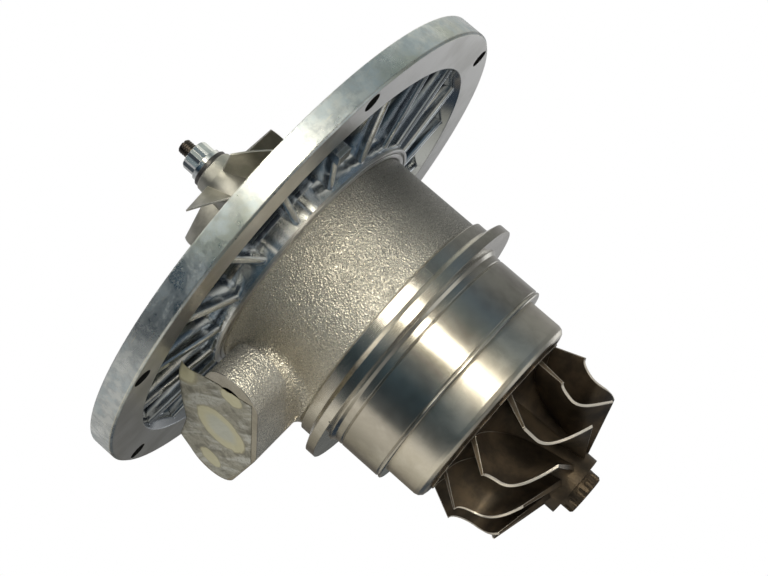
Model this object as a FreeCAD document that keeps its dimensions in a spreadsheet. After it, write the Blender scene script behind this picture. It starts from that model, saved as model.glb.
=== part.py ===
import FreeCAD, Part
import Sketcher
import math
import os

# Turbocharger cartridge: a ribbed back plate, a cast bearing housing and the rotor that spins inside them.
# The shaft lies along X, from the compressor at -X to the turbine at +X, and the oil drain points down.
# The origin is on the shaft axis, in the front face of the back plate where the compressor cover seats.

doc = FreeCAD.newDocument("TurboCartridge")

# Driving dimensions in millimetres and degrees
sizeNotes = [
    ("plateRadius", 110.0, "outer radius of the back plate"),
    ("plateRim", 10.5, "thickness of the plate's rim"),
    ("plateWeb", 3.0, "thickness of the plate's web between the ribs"),
    ("ringWidth", 17.0, "radial width of the flat ring round the pocket"),
    ("lipWall", 4.5, "wall of the plate's lip round the housing"),
    ("lipHeight", 3.5, "height of that lip above the ring"),
    ("seatDepth", 6.0, "how far the housing sits in the plate's lip"),
    ("rimChamfer", 0.8, "chamfer on the plate's rim"),
    ("lipBevel", 0.6, "bevel inside the lip's mouth"),
    ("lipEdge", 1.3, "wall outside the groove in the lip's face"),
    ("lipGrooveWidth", 0.9, "width and depth of the groove in the lip's face"),
    ("pocketBlend", 5.0, "how far the pocket's floor curves up at its inner and outer walls"),
    ("ribCount", 19.0, "number of ribs in the pocket"),
    ("ribTurn", -2.7, "angle of the first rib from the top"),
    ("ribRoot", 9.0, "width of a rib at the web"),
    ("ribCrest", 1.5, "radius of a rib's rounded crest"),
    ("ribDrop", 2.0, "how far a rib's outer end lies below the ring"),
    ("ribRise", 1.6, "how far a rib's inner end stands above the ring"),
    ("lugWidth", 6.0, "width of the square lug in the pocket"),
    ("lugRadius", 86.0, "distance of the lug from the shaft"),
    ("lugHeight", 3.0, "height of the lug above the ring"),
    ("lugTurn", 94.0, "angle of the lug from the top"),
    ("boltHoleRadius", 3.9, "radius of the holes in the plate's ring"),
    ("boltCircleRadius", 104.4, "radius of the circle of those holes"),
    ("holeAngleA", 56.0, "angle of the first hole from +Y"),
    ("holeAngleB", 114.7, "angle of the second hole from +Y"),
    ("holeAngleC", 176.3, "angle of the third hole from +Y"),
    ("holeAngleD", 249.8, "angle of the fourth hole from +Y"),
    ("holeAngleE", 299.9, "angle of the fifth hole from +Y"),
    ("holeAngleF", 358.0, "angle of the sixth hole from +Y"),
    ("wheelRecess", 0.5, "depth of the recess behind the compressor wheel"),
    ("recessMargin", 3.0, "room round the wheel in that recess"),
    ("insertRadius", 23.9, "outer radius of the seal insert"),
    ("slipGap", 0.1, "gap between pieces that slide together by hand"),
    ("pressGap", 0.02, "gap between pieces that are pressed together"),
    ("screwRadius", 3.0, "radius of the plate screws"),
    ("screwHead", 5.0, "radius of a plate screw's head"),
    ("screwHeadHeight", 4.0, "height of a plate screw's head"),
    ("screwCount", 6.0, "number of plate screws"),
    ("screwCircle", 36.0, "radius of the circle of plate screws"),
    ("screwReach", 12.0, "how far a plate screw reaches into the housing"),
    ("bodyRadius", 51.2, "radius of the cast housing body"),
    ("bodyLength", 47.5, "length of the cast body"),
    ("bandRadius", 53.0, "radius of the turned band beside the clamp flange"),
    ("bandLength", 4.8, "length of that band"),
    ("flangeRadius", 58.2, "radius of the clamp flange"),
    ("flangeSlope", 2.2, "length of the flange's sloping side"),
    ("flangeRim", 4.0, "thickness of the flange at its rim"),
    ("pilotRadius", 47.5, "radius of the turbine pilot"),
    ("pilotLength", 24.8, "length from the flange face to the end of the housing"),
    ("pilotFoot", 1.3, "step at the foot of the pilot"),
    ("pilotGroove", 0.5, "depth and half width of the pilot's grooves"),
    ("footGrooveAt", 4.9, "distance of the first groove from the flange face"),
    ("endGrooveAt", 1.5, "distance of the last groove from the end"),
    ("boreRadius", 9.0, "bore of the bearing tube"),
    ("tubeRadius", 16.0, "outer radius of the bearing tube"),
    ("flingRadius", 14.0, "radius of the groove that catches oil behind the turbine seal"),
    ("flingWidth", 3.0, "width of that groove"),
    ("thrustPocketRadius", 26.5, "radius of the pocket for the thrust bearing"),
    ("thrustPocketDepth", 13.5, "depth of that pocket from the housing's front"),
    ("relief", 17.5, "radius of the pocket behind the thrust bearing"),
    ("reliefDepth", 5.5, "depth of the pocket behind the thrust bearing"),
    ("oilWall", 4.0, "wall between that pocket and the oil chamber"),
    ("oilRadius", 39.0, "outer radius of the oil chamber"),
    ("oilLength", 42.0, "length of the oil chamber"),
    ("oilSweep", 240.0, "angle that the oil chamber covers, centred on the drain"),
    ("shieldSeatDepth", 3.3, "depth of the heat shield's seat in the housing's end"),
    ("airPocketDepth", 11.0, "depth of the air pocket behind the heat shield"),
    ("noseRadius", 22.0, "radius of the housing's nose round the shaft"),
    ("noseProud", 2.7, "how far that nose stands out of the housing's end"),
    ("bossFillet", 5.0, "fillet where a boss grows out of the housing"),
    ("drainOffset", 36.6, "distance of the drain's centre from the origin"),
    ("drainFace", 79.2, "distance of the drain face below the shaft"),
    ("drainRadius", 12.0, "radius of the drain port"),
    ("drainPitch", 61.0, "distance between the drain's two screw holes"),
    ("drainHoleRadius", 5.0, "radius of the drain's screw holes"),
    ("drainHoleDepth", 20.0, "depth of the drain's screw holes"),
    ("drainMiddle", 17.6, "radius of the drain flange round the port"),
    ("drainEnd", 12.4, "radius of the drain flange round its holes"),
    ("inletOffset", 40.0, "distance of the oil inlet from the origin"),
    ("inletFace", 50.4, "height of the inlet face above the shaft"),
    ("inletPadRadius", 13.0, "radius of the inlet boss"),
    ("inletRadius", 6.0, "radius of the inlet's threaded hole"),
    ("inletDepth", 16.0, "depth of that hole"),
    ("galleryRadius", 2.2, "radius of the oil galleries"),
    ("bearingLength", 12.0, "length of a floating bearing"),
    ("bearingWall", 2.3, "wall of a floating bearing"),
    ("bearingGap", 0.07, "radial gap outside and inside a floating bearing"),
    ("frontBearingAt", 34.0, "start of the compressor side bearing"),
    ("rearBearingAt", 60.0, "start of the turbine side bearing"),
    ("bearingHole", 1.3, "radius of the oil holes in a floating bearing"),
    ("bearingHoles", 6.0, "number of oil holes in a floating bearing"),
    ("snapWidth", 1.2, "thickness of a bearing's retaining ring"),
    ("snapDepth", 1.0, "how deep a retaining ring sits in its groove"),
    ("endGap", 0.3, "gap beside a ring or a thrust face"),
    ("thrustLength", 5.0, "thickness of the thrust bearing"),
    ("pinRadius", 1.5, "radius of the thrust bearing's pins"),
    ("pinCircle", 21.8, "radius of the circle of those pins"),
    ("stubRadius", 4.0, "radius of the shaft through the compressor wheel"),
    ("threadRadius", 3.1, "radius of the threaded end of the shaft"),
    ("stubTip", 57.2, "distance of the shaft's threaded end from the origin"),
    ("collarRadius", 13.5, "radius of the thrust collar and of the sleeve's flange"),
    ("collarLength", 3.0, "thickness of the thrust collar"),
    ("sleeveRadius", 8.6, "radius of the oil sleeve"),
    ("sealBossRadius", 10.0, "radius of the shaft's boss at the turbine seal"),
    ("sealBossLength", 21.5, "length of that boss"),
    ("weldBossRadius", 12.0, "radius of the turbine wheel's boss at the weld"),
    ("snapOpening", 6.0, "width of the opening in a retaining ring"),
    ("sealRingWidth", 1.6, "thickness of the piston rings"),
    ("sealRingJoint", 0.5, "opening of a piston ring"),
    ("sealRingWall", 1.5, "radial wall of the piston rings"),
    ("sealGap", 0.4, "radial gap at both shaft seals"),
    ("insertStep", 2.6, "distance of the seal insert from the plate's front face"),
    ("insertRear", 12.0, "distance of the seal insert's rear face from the origin"),
    ("lockWidth", 1.6, "thickness of the insert's retaining ring"),
    ("lockDepth", 1.8, "how deep that ring sits in the plate"),
    ("cordRadius", 1.0, "radius of the rubber rings' cord"),
    ("deflectorWall", 1.0, "thickness of the oil deflector"),
    ("shieldRadius", 43.1, "outer radius of the heat shield"),
    ("shieldFront", 108.4, "distance of the heat shield's front edge from the origin"),
    ("shieldWall", 1.5, "thickness of the heat shield"),
    ("shieldCorner", 3.4, "outer corner radius of the heat shield"),
    ("shieldEdge", 5.5, "radial width of the shield's front edge"),
    ("shieldDish", 3.5, "depth of the dish in the heat shield's face"),
    ("shieldHole", 13.5, "radius of the heat shield's hole"),
    ("wheelGap", 1.4, "gap between the turbine wheel's back and the heat shield"),
    ("discRadius", 37.0, "radius of the turbine wheel's back disc"),
    ("discRim", 2.0, "thickness of that disc at its rim"),
    ("discScallop", 1.6, "depth of the scallops between the turbine blades"),
    ("turbineBlades", 11.0, "number of turbine blades"),
    ("turbinePhase", 159.7, "angle of the first turbine blade's rear tip from +Y"),
    ("turbineRadius", 41.8, "radius of the turbine blades at the inlet's front corner"),
    ("turbineInlet", 11.7, "length of the turbine blades' inlet edge along the shaft"),
    ("exducerRadius", 36.3, "radius of the turbine blades at the outlet"),
    ("exducerLength", 18.4, "length from the inlet's front corner to the outlet's tip"),
    ("turbineHub", 13.0, "radius of the turbine hub at its front end"),
    ("turbineHubLength", 35.4, "length of the turbine hub from the disc to its front end"),
    ("turbineNoseRing", 5.2, "length of the turbine hub's balancing ring"),
    ("turbineNoseRadius", 8.8, "radius of the turbine wheel's nose"),
    ("turbineNoseLength", 5.6, "length of the turbine wheel's nose"),
    ("turbineTip", 1.1, "thickness of a turbine blade at its tip"),
    ("turbineRoot", 2.4, "thickness of a turbine blade at its root"),
    ("compressorGap", 0.8, "gap between the compressor wheel and the plate"),
    ("compressorRadius", 39.0, "outer radius of the compressor wheel"),
    ("compressorRim", 1.5, "thickness of the compressor wheel's disc at its rim"),
    ("compressorOutlet", 4.7, "width of the compressor blades at the wheel's rim"),
    ("inducerRadius", 28.2, "radius of the compressor blades at the inlet"),
    ("inducerLength", 25.4, "length of the compressor blades along their tips"),
    ("inletSweep", 3.2, "how far the inlet edge leans forward at the hub"),
    ("compressorHub", 9.8, "radius of the compressor hub at its front"),
    ("compressorNose", 5.5, "length of the hub in front of the blades"),
    ("compressorBlades", 6.0, "number of full compressor blades"),
    ("compressorPhase", 188.2, "angle of the first full compressor blade's inlet tip from +Y"),
    ("compressorTip", 0.7, "thickness of a compressor blade at its tip"),
    ("compressorRoot", 1.7, "thickness of a compressor blade at its root"),
    ("washerRadius", 8.6, "radius of the nut's washer"),
    ("washerLength", 1.8, "thickness of the nut's washer"),
    ("nutFlangeRadius", 7.6, "radius of the nut's flange"),
    ("nutFlangeLength", 2.0, "thickness of the nut's flange"),
    ("nutAcross", 11.6, "width of the nut across its flats"),
    ("nutLength", 6.5, "length of the nut's twelve sided part"),
    ("tapeThickness", 0.2, "thickness of the masking tape on the drain"),
]

# Places along the shaft and other values that follow from the driving dimensions
placeNotes = [
    ("lipEnd", "Sizes.plateRim + Sizes.lipHeight"),
    ("lipRadius", "Sizes.bodyRadius + Sizes.slipGap + Sizes.lipWall"),
    ("pocketRadius", "Sizes.plateRadius - Sizes.ringWidth"),
    ("housingStart", "Places.lipEnd - Sizes.seatDepth"),
    ("bandStart", "Places.housingStart + Sizes.bodyLength"),
    ("bodyEdge", "Places.bandStart - 1"),
    ("blankEnd", "Places.bandStart + 4 * Sizes.bossFillet"),
    ("slopeStart", "Places.bandStart + Sizes.bandLength"),
    ("rimStart", "Places.slopeStart + Sizes.flangeSlope"),
    ("headFront", "Sizes.wheelRecess + Sizes.endGap"),
    ("flangeFace", "Places.rimStart + Sizes.flangeRim"),
    ("housingEnd", "Places.flangeFace + Sizes.pilotLength"),
    ("thrustSeat", "Places.housingStart + Sizes.thrustPocketDepth"),
    ("reliefEnd", "Places.thrustSeat + Sizes.reliefDepth"),
    ("oilStart", "Places.reliefEnd + Sizes.oilWall"),
    ("oilEnd", "Places.oilStart + Sizes.oilLength"),
    ("shieldSeat", "Places.housingEnd - Sizes.shieldSeatDepth"),
    ("airPocket", "Places.housingEnd - Sizes.airPocketDepth"),
    ("bearingOuter", "Sizes.boreRadius - Sizes.bearingGap"),
    ("bearingBore", "Places.bearingOuter - Sizes.bearingWall"),
    ("journalRadius", "Places.bearingBore - Sizes.bearingGap"),
    ("collarStart", "Places.thrustSeat + Sizes.endGap"),
    ("journalStart", "Places.collarStart + Sizes.collarLength"),
    ("bossStart", "Sizes.rearBearingAt + Sizes.bearingLength + Sizes.snapWidth + 3 * Sizes.endGap"),
    ("weldFace", "Places.bossStart + Sizes.sealBossLength"),
    ("noseEnd", "Places.housingEnd + Sizes.noseProud"),
    ("turbineNoseEnd", "Places.noseStart + Sizes.turbineNoseLength"),
    ("thrustFront", "Places.thrustSeat - Sizes.thrustLength"),
    ("sealBore", "Sizes.sealBossRadius + Sizes.sealGap"),
    ("insertBore", "Sizes.sleeveRadius + Sizes.sealGap"),
    ("shieldDishFace", "Sizes.shieldFront - Sizes.shieldDish"),
    ("discBack", "Places.shieldDishFace + Sizes.wheelGap"),
    ("discFront", "Places.discBack + Sizes.discRim + 1"),
    ("hubFront", "Places.discFront + Sizes.turbineHubLength"),
    ("noseStart", "Places.hubFront + Sizes.turbineNoseRing"),
    ("inletCorner", "Places.discFront + Sizes.turbineInlet"),
    ("wheelBack", "-Sizes.compressorGap"),
    ("rimFront", "Places.wheelBack - Sizes.compressorRim"),
    ("outletFront", "Places.rimFront - Sizes.compressorOutlet"),
    ("inletTip", "Places.outletFront - Sizes.inducerLength"),
    ("inletHub", "Places.inletTip - Sizes.inletSweep"),
    ("hubNose", "Places.inletHub - Sizes.compressorNose"),
    ("washerFront", "Places.hubNose - Sizes.washerLength"),
    ("nutSeat", "Places.washerFront - Sizes.nutFlangeLength"),
    ("nutFront", "Places.nutSeat - Sizes.nutLength"),
    ("drainHalf", "Sizes.drainPitch / 2"),
]

sizes = doc.addObject("Spreadsheet::Sheet", "Sizes")
for row, (alias, number, note) in enumerate(sizeNotes, 1):
    sizes.set(f"A{row}", note)
    sizes.set(f"B{row}", str(number))
    sizes.setAlias(f"B{row}", alias)
places = doc.addObject("Spreadsheet::Sheet", "Places")
for row, (alias, formula) in enumerate(placeNotes, 1):
    places.set(f"B{row}", "=" + formula.replace("Places.", ""))
    places.setAlias(f"B{row}", alias)
doc.recompute()


def value(text):
    """The number that an expression on the two sheets gives."""
    return float(sizes.evalExpression(text))


def size(alias):
    return float(sizes.get(alias))


def place(alias):
    return float(places.get(alias))


def new_body(label):
    body = doc.addObject("PartDesign::Body", label)
    body.Label = label
    return body


def base_sketch(body, name, plane="XY_Plane"):
    """An empty sketch on one of the body's own origin planes."""
    sketch = body.newObject("Sketcher::SketchObject", name)
    origin_plane = next(f for f in body.Origin.OriginFeatures if f.Role == plane)
    sketch.AttachmentSupport = [(origin_plane, "")]
    sketch.MapMode = "FlatFace"
    return sketch


def pin_coordinate(sketch, kind, line, text):
    """Ties one coordinate of a line's start to an expression."""
    number = value(text)
    if text == "0":
        axis = -2 if kind == "DistanceX" else -1
        sketch.addConstraint(Sketcher.Constraint("PointOnObject", line, 1, axis))
        return
    index = sketch.addConstraint(Sketcher.Constraint(kind, -1, 1, line, 1, number))
    sketch.setExpression(f"Constraints[{index}]", text)


def outline(sketch, corners):
    """Draws a closed outline whose corners are pairs of expressions."""
    points = [FreeCAD.Vector(value(across), value(up), 0) for across, up in corners]
    first = sketch.GeometryCount
    count = len(points)
    for index in range(count):
        sketch.addGeometry(Part.LineSegment(points[index], points[(index + 1) % count]), False)
    for index in range(count):
        following = first + (index + 1) % count
        sketch.addConstraint(Sketcher.Constraint("Coincident", first + index, 2, following, 1))
    for index, (across, up) in enumerate(corners):
        pin_coordinate(sketch, "DistanceX", first + index, across)
        pin_coordinate(sketch, "DistanceY", first + index, up)


def circle_at(sketch, across, up, radius):
    """Draws a circle whose centre and radius are expressions."""
    centre = FreeCAD.Vector(value(across), value(up), 0)
    index = sketch.addGeometry(Part.Circle(centre, FreeCAD.Vector(0, 0, 1), value(radius)), False)
    for kind, text, axis in (("DistanceX", across, -2), ("DistanceY", up, -1)):
        if text == "0":
            sketch.addConstraint(Sketcher.Constraint("PointOnObject", index, 3, axis))
            continue
        tie = sketch.addConstraint(Sketcher.Constraint(kind, -1, 1, index, 3, value(text)))
        sketch.setExpression(f"Constraints[{tie}]", text)
    tie = sketch.addConstraint(Sketcher.Constraint("Radius", index, value(radius)))
    sketch.setExpression(f"Constraints[{tie}]", radius)


def turned(body, name, corners, angle=360):
    """Turns an outline round the shaft axis."""
    sketch = base_sketch(body, name + "Outline")
    outline(sketch, corners)
    feature = body.newObject("PartDesign::Revolution", name)
    feature.Profile = sketch
    feature.ReferenceAxis = (sketch, ["H_Axis"])
    feature.Angle = angle
    return feature


def groove(body, name, corners, plane="XY_Plane", sweep=None):
    """Cuts a turned groove or bore, all round or over part of a turn."""
    sketch = base_sketch(body, name + "Outline", plane)
    outline(sketch, corners)
    feature = body.newObject("PartDesign::Groove", name)
    feature.Profile = sketch
    feature.ReferenceAxis = (sketch, ["H_Axis"])
    feature.Angle = 360
    if sweep:
        feature.Midplane = True
        feature.setExpression("Angle", sweep)
    return feature


def turned_part(label, corners):
    """A body that is one turned outline."""
    body = new_body(label)
    turned(body, label + "Turned", corners)
    return body


def polar(body, feature, name, count):
    """Repeats a feature round the shaft axis."""
    pattern = body.newObject("PartDesign::PolarPattern", name)
    pattern.Originals = [feature]
    axis = next(f for f in body.Origin.OriginFeatures if f.Role == "X_Axis")
    pattern.Axis = (axis, [""])
    pattern.Angle = 360
    pattern.setExpression("Occurrences", count)
    body.Tip = pattern
    return pattern


def ring_section(start, end, inner, outer):
    """The outline of a plain ring."""
    return [(start, inner), (end, inner), (end, outer), (start, outer)]


def around(angle, radius, along):
    """The point at an angle from +Y round the shaft."""
    turn = math.radians(angle)
    return FreeCAD.Vector(along, radius * math.cos(turn), radius * math.sin(turn))


shaftAxis = FreeCAD.Vector(1, 0, 0)


def rod(radius, start, end):
    """A plain cylinder between two points."""
    path = end - start
    return Part.makeCylinder(radius, path.Length, start, path)


def feature_part(label, shape):
    """A sub-part whose shape comes from Part's own functions."""
    feature = doc.addObject("Part::Feature", label)
    feature.Label = label
    feature.Shape = shape
    feature.Placement = FreeCAD.Placement()
    return feature


# Back plate: turned disc with a lip for the housing, a ribbed pocket and a flat ring of holes
plate = new_body("back_plate")
turned(plate, "plateDisc", [
    ("Sizes.wheelRecess", "Sizes.insertRadius + Sizes.slipGap"),
    ("Places.housingStart", "Sizes.insertRadius + Sizes.slipGap"),
    ("Places.housingStart", "Sizes.bodyRadius + Sizes.slipGap"),
    ("Places.lipEnd - Sizes.lipBevel", "Sizes.bodyRadius + Sizes.slipGap"),
    ("Places.lipEnd", "Sizes.bodyRadius + Sizes.slipGap + Sizes.lipBevel"),
    ("Places.lipEnd", "Places.lipRadius"),
    ("Sizes.plateWeb + Sizes.pocketBlend / 2", "Places.lipRadius + Sizes.pocketBlend / 5"),
    ("Sizes.plateWeb + Sizes.pocketBlend / 7", "Places.lipRadius + Sizes.pocketBlend / 2"),
    ("Sizes.plateWeb", "Places.lipRadius + Sizes.pocketBlend"),
    ("Sizes.plateWeb", "Places.pocketRadius - 1.5 * Sizes.pocketBlend"),
    ("Sizes.plateWeb + Sizes.pocketBlend / 7", "Places.pocketRadius - Sizes.pocketBlend"),
    ("Sizes.plateWeb + Sizes.pocketBlend / 2", "Places.pocketRadius - Sizes.pocketBlend / 2"),
    ("Sizes.plateRim", "Places.pocketRadius"),
    ("Sizes.plateRim", "Sizes.plateRadius - Sizes.rimChamfer"),
    ("Sizes.plateRim - Sizes.rimChamfer", "Sizes.plateRadius"),
    ("0", "Sizes.plateRadius"),
    ("0", "Sizes.compressorRadius + Sizes.recessMargin"),
    ("Sizes.wheelRecess", "Sizes.compressorRadius + Sizes.recessMargin"),
])
groove(plate, "lockRingGroove", ring_section(
    "Sizes.insertStep - Sizes.lockWidth - Sizes.slipGap", "Sizes.insertStep + Sizes.slipGap",
    "Sizes.insertRadius - 1", "Sizes.insertRadius + Sizes.lockDepth"))
groove(plate, "lipGroove", ring_section(
    "Places.lipEnd - Sizes.lipGrooveWidth", "Places.lipEnd + 1",
    "Places.lipRadius - Sizes.lipEdge - Sizes.lipGrooveWidth", "Places.lipRadius - Sizes.lipEdge"))


def turn_off_axis(sketch, height, turn):
    """Lays a sketch flat at a height over the shaft, turned round the shaft from the top."""
    tilt = FreeCAD.Rotation(FreeCAD.Vector(1, 0, 0), value(turn))
    sketch.AttachmentOffset = FreeCAD.Placement(tilt.multVec(FreeCAD.Vector(0, 0, value(height))), tilt)
    sketch.setExpression("AttachmentOffset.Base.y", f"-({height}) * sin({turn})")
    sketch.setExpression("AttachmentOffset.Base.z", f"({height}) * cos({turn})")
    sketch.setExpression("AttachmentOffset.Rotation.Angle", turn)


def rib_section(name, height, crest):
    """A rib's cross-section at one radius: hollow sides and a round crest."""
    sketch = base_sketch(plate, name)
    turn_off_axis(sketch, height, "Sizes.ribTurn")
    foot = size("plateWeb") - 1
    half = size("ribRoot") / 2
    top = size("ribCrest")
    crown = value(crest) - top
    slant = FreeCAD.Vector(crown - foot, top - half, 0)
    hollow = FreeCAD.Vector(slant.y, -slant.x, 0) * 0.18
    middle = FreeCAD.Vector((crown + foot) / 2, (top + half) / 2, 0) + hollow
    below = FreeCAD.Vector(middle.x, -middle.y, 0)
    low, high = FreeCAD.Vector(foot, half, 0), FreeCAD.Vector(crown, top, 0)
    low_other, high_other = FreeCAD.Vector(foot, -half, 0), FreeCAD.Vector(crown, -top, 0)
    sketch.addGeometry(Part.LineSegment(low_other, low), False)
    sketch.addGeometry(Part.Arc(low, middle, high), False)
    sketch.addGeometry(Part.Arc(high, FreeCAD.Vector(crown + top, 0, 0), high_other), False)
    sketch.addGeometry(Part.Arc(high_other, below, low_other), False)

    def end_at(index, spot):
        return 1 if (sketch.getPoint(index, 1) - spot).Length < 0.01 else 2

    joints = ((0, 1, low), (1, 2, high), (2, 3, high_other), (3, 0, low_other))
    for first, second, spot in joints:
        sketch.addConstraint(Sketcher.Constraint(
            "Coincident", first, end_at(first, spot), second, end_at(second, spot)))
    sketch.addConstraint(Sketcher.Constraint("PointOnObject", 2, 3, -1))
    sketch.addConstraint(Sketcher.Constraint("Symmetric", 0, 1, 0, 2, -1))
    sketch.addConstraint(Sketcher.Constraint("Vertical", 2, 3, 2, 1))
    sketch.addConstraint(Sketcher.Constraint("Vertical", 2, 3, 2, 2))
    sketch.addConstraint(Sketcher.Constraint("Equal", 1, 3))
    rise = f"({crest} - Sizes.ribCrest - Sizes.plateWeb + 1)"
    bend = sketch.Geometry[1].Radius / slant.Length
    ties = (
        (Sketcher.Constraint("DistanceX", -1, 1, 0, 1, foot), "Sizes.plateWeb - 1"),
        (Sketcher.Constraint("DistanceX", -1, 1, 2, 3, crown), crest + " - Sizes.ribCrest"),
        (Sketcher.Constraint("Radius", 2, top), "Sizes.ribCrest"),
        (Sketcher.Constraint("DistanceY", 0, 1, 0, 2, 2 * half), "Sizes.ribRoot"),
        (Sketcher.Constraint("Radius", 1, sketch.Geometry[1].Radius),
         f"{bend:.4f} * sqrt({rise} * {rise} + (Sizes.ribRoot / 2 - Sizes.ribCrest) ^ 2)"),
    )
    for constraint, text in ties:
        index = sketch.addConstraint(constraint)
        sketch.setExpression(f"Constraints[{index}]", text)
    return sketch


ribInner = rib_section("ribInner", "Places.lipRadius - 1", "Sizes.plateRim + Sizes.ribRise")
ribOuter = rib_section("ribOuter", "Places.pocketRadius + 0.5", "Sizes.plateRim - Sizes.ribDrop")
rib = plate.newObject("PartDesign::AdditiveLoft", "rib")
rib.Profile = ribInner
rib.Sections = [ribOuter]
rib.Ruled = True
doc.recompute()
polar(plate, rib, "ribs", "Sizes.ribCount")
doc.recompute()


def pad(body, name, sketch, length, reversed_way=False, midplane=False):
    """Pads a sketch by a length that is an expression."""
    feature = body.newObject("PartDesign::Pad", name)
    feature.Profile = sketch
    feature.Reversed = reversed_way
    feature.Midplane = midplane
    feature.Length = value(length)
    feature.setExpression("Length", length)
    return feature


def pocket(body, name, sketch, length, reversed_way=False, midplane=False):
    """Cuts a sketch out to a depth that is an expression."""
    feature = body.newObject("PartDesign::Pocket", name)
    feature.Profile = sketch
    feature.Reversed = reversed_way
    feature.Midplane = midplane
    feature.Length = value(length)
    feature.setExpression("Length", length)
    return feature


def shifted_sketch(body, name, plane, shift):
    """A sketch parallel to an origin plane, moved along its normal."""
    sketch = base_sketch(body, name, plane)
    sketch.AttachmentOffset = FreeCAD.Placement(FreeCAD.Vector(0, 0, value(shift)), FreeCAD.Rotation())
    sketch.setExpression("AttachmentOffset.Base.z", shift)
    return sketch


def rectangle(left, bottom, right, top):
    return [(left, bottom), (right, bottom), (right, top), (left, top)]


# The square lug that stands in one bay of the pocket
lugSketch = base_sketch(plate, "lugOutline")
turn_off_axis(lugSketch, "Sizes.lugRadius", "Sizes.lugTurn")
outline(lugSketch, rectangle("Sizes.plateWeb - 1", "-Sizes.lugWidth / 2",
                             "Sizes.plateRim + Sizes.lugHeight", "Sizes.lugWidth / 2"))
pad(plate, "lug", lugSketch, "Sizes.lugWidth", midplane=True)

# Six unevenly spaced holes through the ring
ringHoles = base_sketch(plate, "ringHoles", "YZ_Plane")
for letter in "ABCDEF":
    angle = f"Sizes.holeAngle{letter}"
    circle_at(ringHoles, f"Sizes.boltCircleRadius * cos({angle})",
              f"Sizes.boltCircleRadius * sin({angle})", "Sizes.boltHoleRadius")
pocket(plate, "ringHolesCut", ringHoles, "Sizes.plateRim * 3", midplane=True)

# One counterbored screw hole, repeated round the shaft
screwHole = base_sketch(plate, "screwHole", "YZ_Plane")
circle_at(screwHole, "Sizes.screwCircle", "0", "Sizes.screwRadius + Sizes.slipGap")
screwHoleCut = pocket(plate, "screwHoleCut", screwHole, "Places.lipEnd * 3", midplane=True)
doc.recompute()
polar(plate, screwHoleCut, "screwHoles", "Sizes.screwCount")
headSeat = base_sketch(plate, "headSeat", "YZ_Plane")
circle_at(headSeat, "Sizes.screwCircle", "0", "Sizes.screwHead + Sizes.slipGap")
headSeatCut = pocket(plate, "headSeatCut", headSeat,
                     "2 * (Places.headFront + Sizes.screwHeadHeight)", midplane=True)
doc.recompute()
polar(plate, headSeatCut, "headSeats", "Sizes.screwCount")

# Bearing housing: a turned casting with a boss for the drain below and one for the oil inlet above
casting = new_body("housing_casting")


def groove_notch(centre, radius):
    """Three corners of a small V groove in a turned face."""
    return [(f"{centre} - Sizes.pilotGroove", radius),
            (centre, f"{radius} - Sizes.pilotGroove"),
            (f"{centre} + Sizes.pilotGroove", radius)]


turned(casting, "castBody", [
    ("Places.housingStart", "0"),
    ("Places.housingStart", "Sizes.bodyRadius - 1"),
    ("Places.housingStart + 1", "Sizes.bodyRadius"),
    ("Places.blankEnd", "Sizes.bodyRadius"),
    ("Places.blankEnd", "0"),
])


def lozenge(sketch, across, half, middle, end):
    """A flange outline: a round middle, two smaller round ends and the lines tangent to them."""
    lean = math.degrees(math.asin((value(middle) - value(end)) / value(half)))
    centres = {"middle": (across, "0"), "top": (across, half), "bottom": (across, "-" + half)}
    arcs = [("middle", middle, -lean, lean), ("top", end, lean, 180 - lean),
            ("middle", middle, 180 - lean, 180 + lean), ("bottom", end, 180 + lean, 360 - lean)]
    corners = []
    for where, radius, start, stop in arcs:
        centre = FreeCAD.Vector(value(centres[where][0]), value(centres[where][1]), 0)
        round_edge = Part.Circle(centre, FreeCAD.Vector(0, 0, 1), value(radius))
        arc = Part.ArcOfCircle(round_edge, math.radians(start), math.radians(stop))
        sketch.addGeometry(arc, False)
        corners.append((arc.StartPoint, arc.EndPoint))
    for index in range(4):
        sketch.addGeometry(Part.LineSegment(corners[index][1], corners[(index + 1) % 4][0]), False)
    for index in range(4):
        sketch.addConstraint(Sketcher.Constraint("Tangent", index, 2, 4 + index, 1))
        sketch.addConstraint(Sketcher.Constraint("Tangent", 4 + index, 2, (index + 1) % 4, 1))
    for index, (where, radius, _, _) in enumerate(arcs):
        across_text, up_text = centres[where]
        for kind, text, axis in (("DistanceX", across_text, -2), ("DistanceY", up_text, -1)):
            if text == "0":
                sketch.addConstraint(Sketcher.Constraint("PointOnObject", index, 3, axis))
                continue
            tie = sketch.addConstraint(Sketcher.Constraint(kind, -1, 1, index, 3, value(text)))
            sketch.setExpression(f"Constraints[{tie}]", text)
        tie = sketch.addConstraint(Sketcher.Constraint("Radius", index, value(radius)))
        sketch.setExpression(f"Constraints[{tie}]", radius)


drainOutline = base_sketch(casting, "drainOutline")
lozenge(drainOutline, "Sizes.drainOffset", "Places.drainHalf", "Sizes.drainMiddle", "Sizes.drainEnd")
pad(casting, "drainBoss", drainOutline, "Sizes.drainFace", reversed_way=True)


def foot_edges(shape, radius):
    """Names of the edges where a boss stands on a round body: on its radius, but not round the shaft."""
    names = []
    for number, edge in enumerate(shape.Edges, 1):
        reach = edge.LastParameter - edge.FirstParameter
        spots = [edge.valueAt(edge.FirstParameter + share * reach) for share in (0.1, 0.5, 0.9)]
        on_body = all(abs(math.hypot(spot.y, spot.z) - radius) < 0.01 for spot in spots)
        leans = max(spot.x for spot in spots) - min(spot.x for spot in spots) > 0.01
        seam = abs(spots[0].z - spots[2].z) < 0.01 and abs(spots[0].y - spots[2].y) < 0.01
        if on_body and leans and not seam:
            names.append(f"Edge{number}")
    return names


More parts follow.
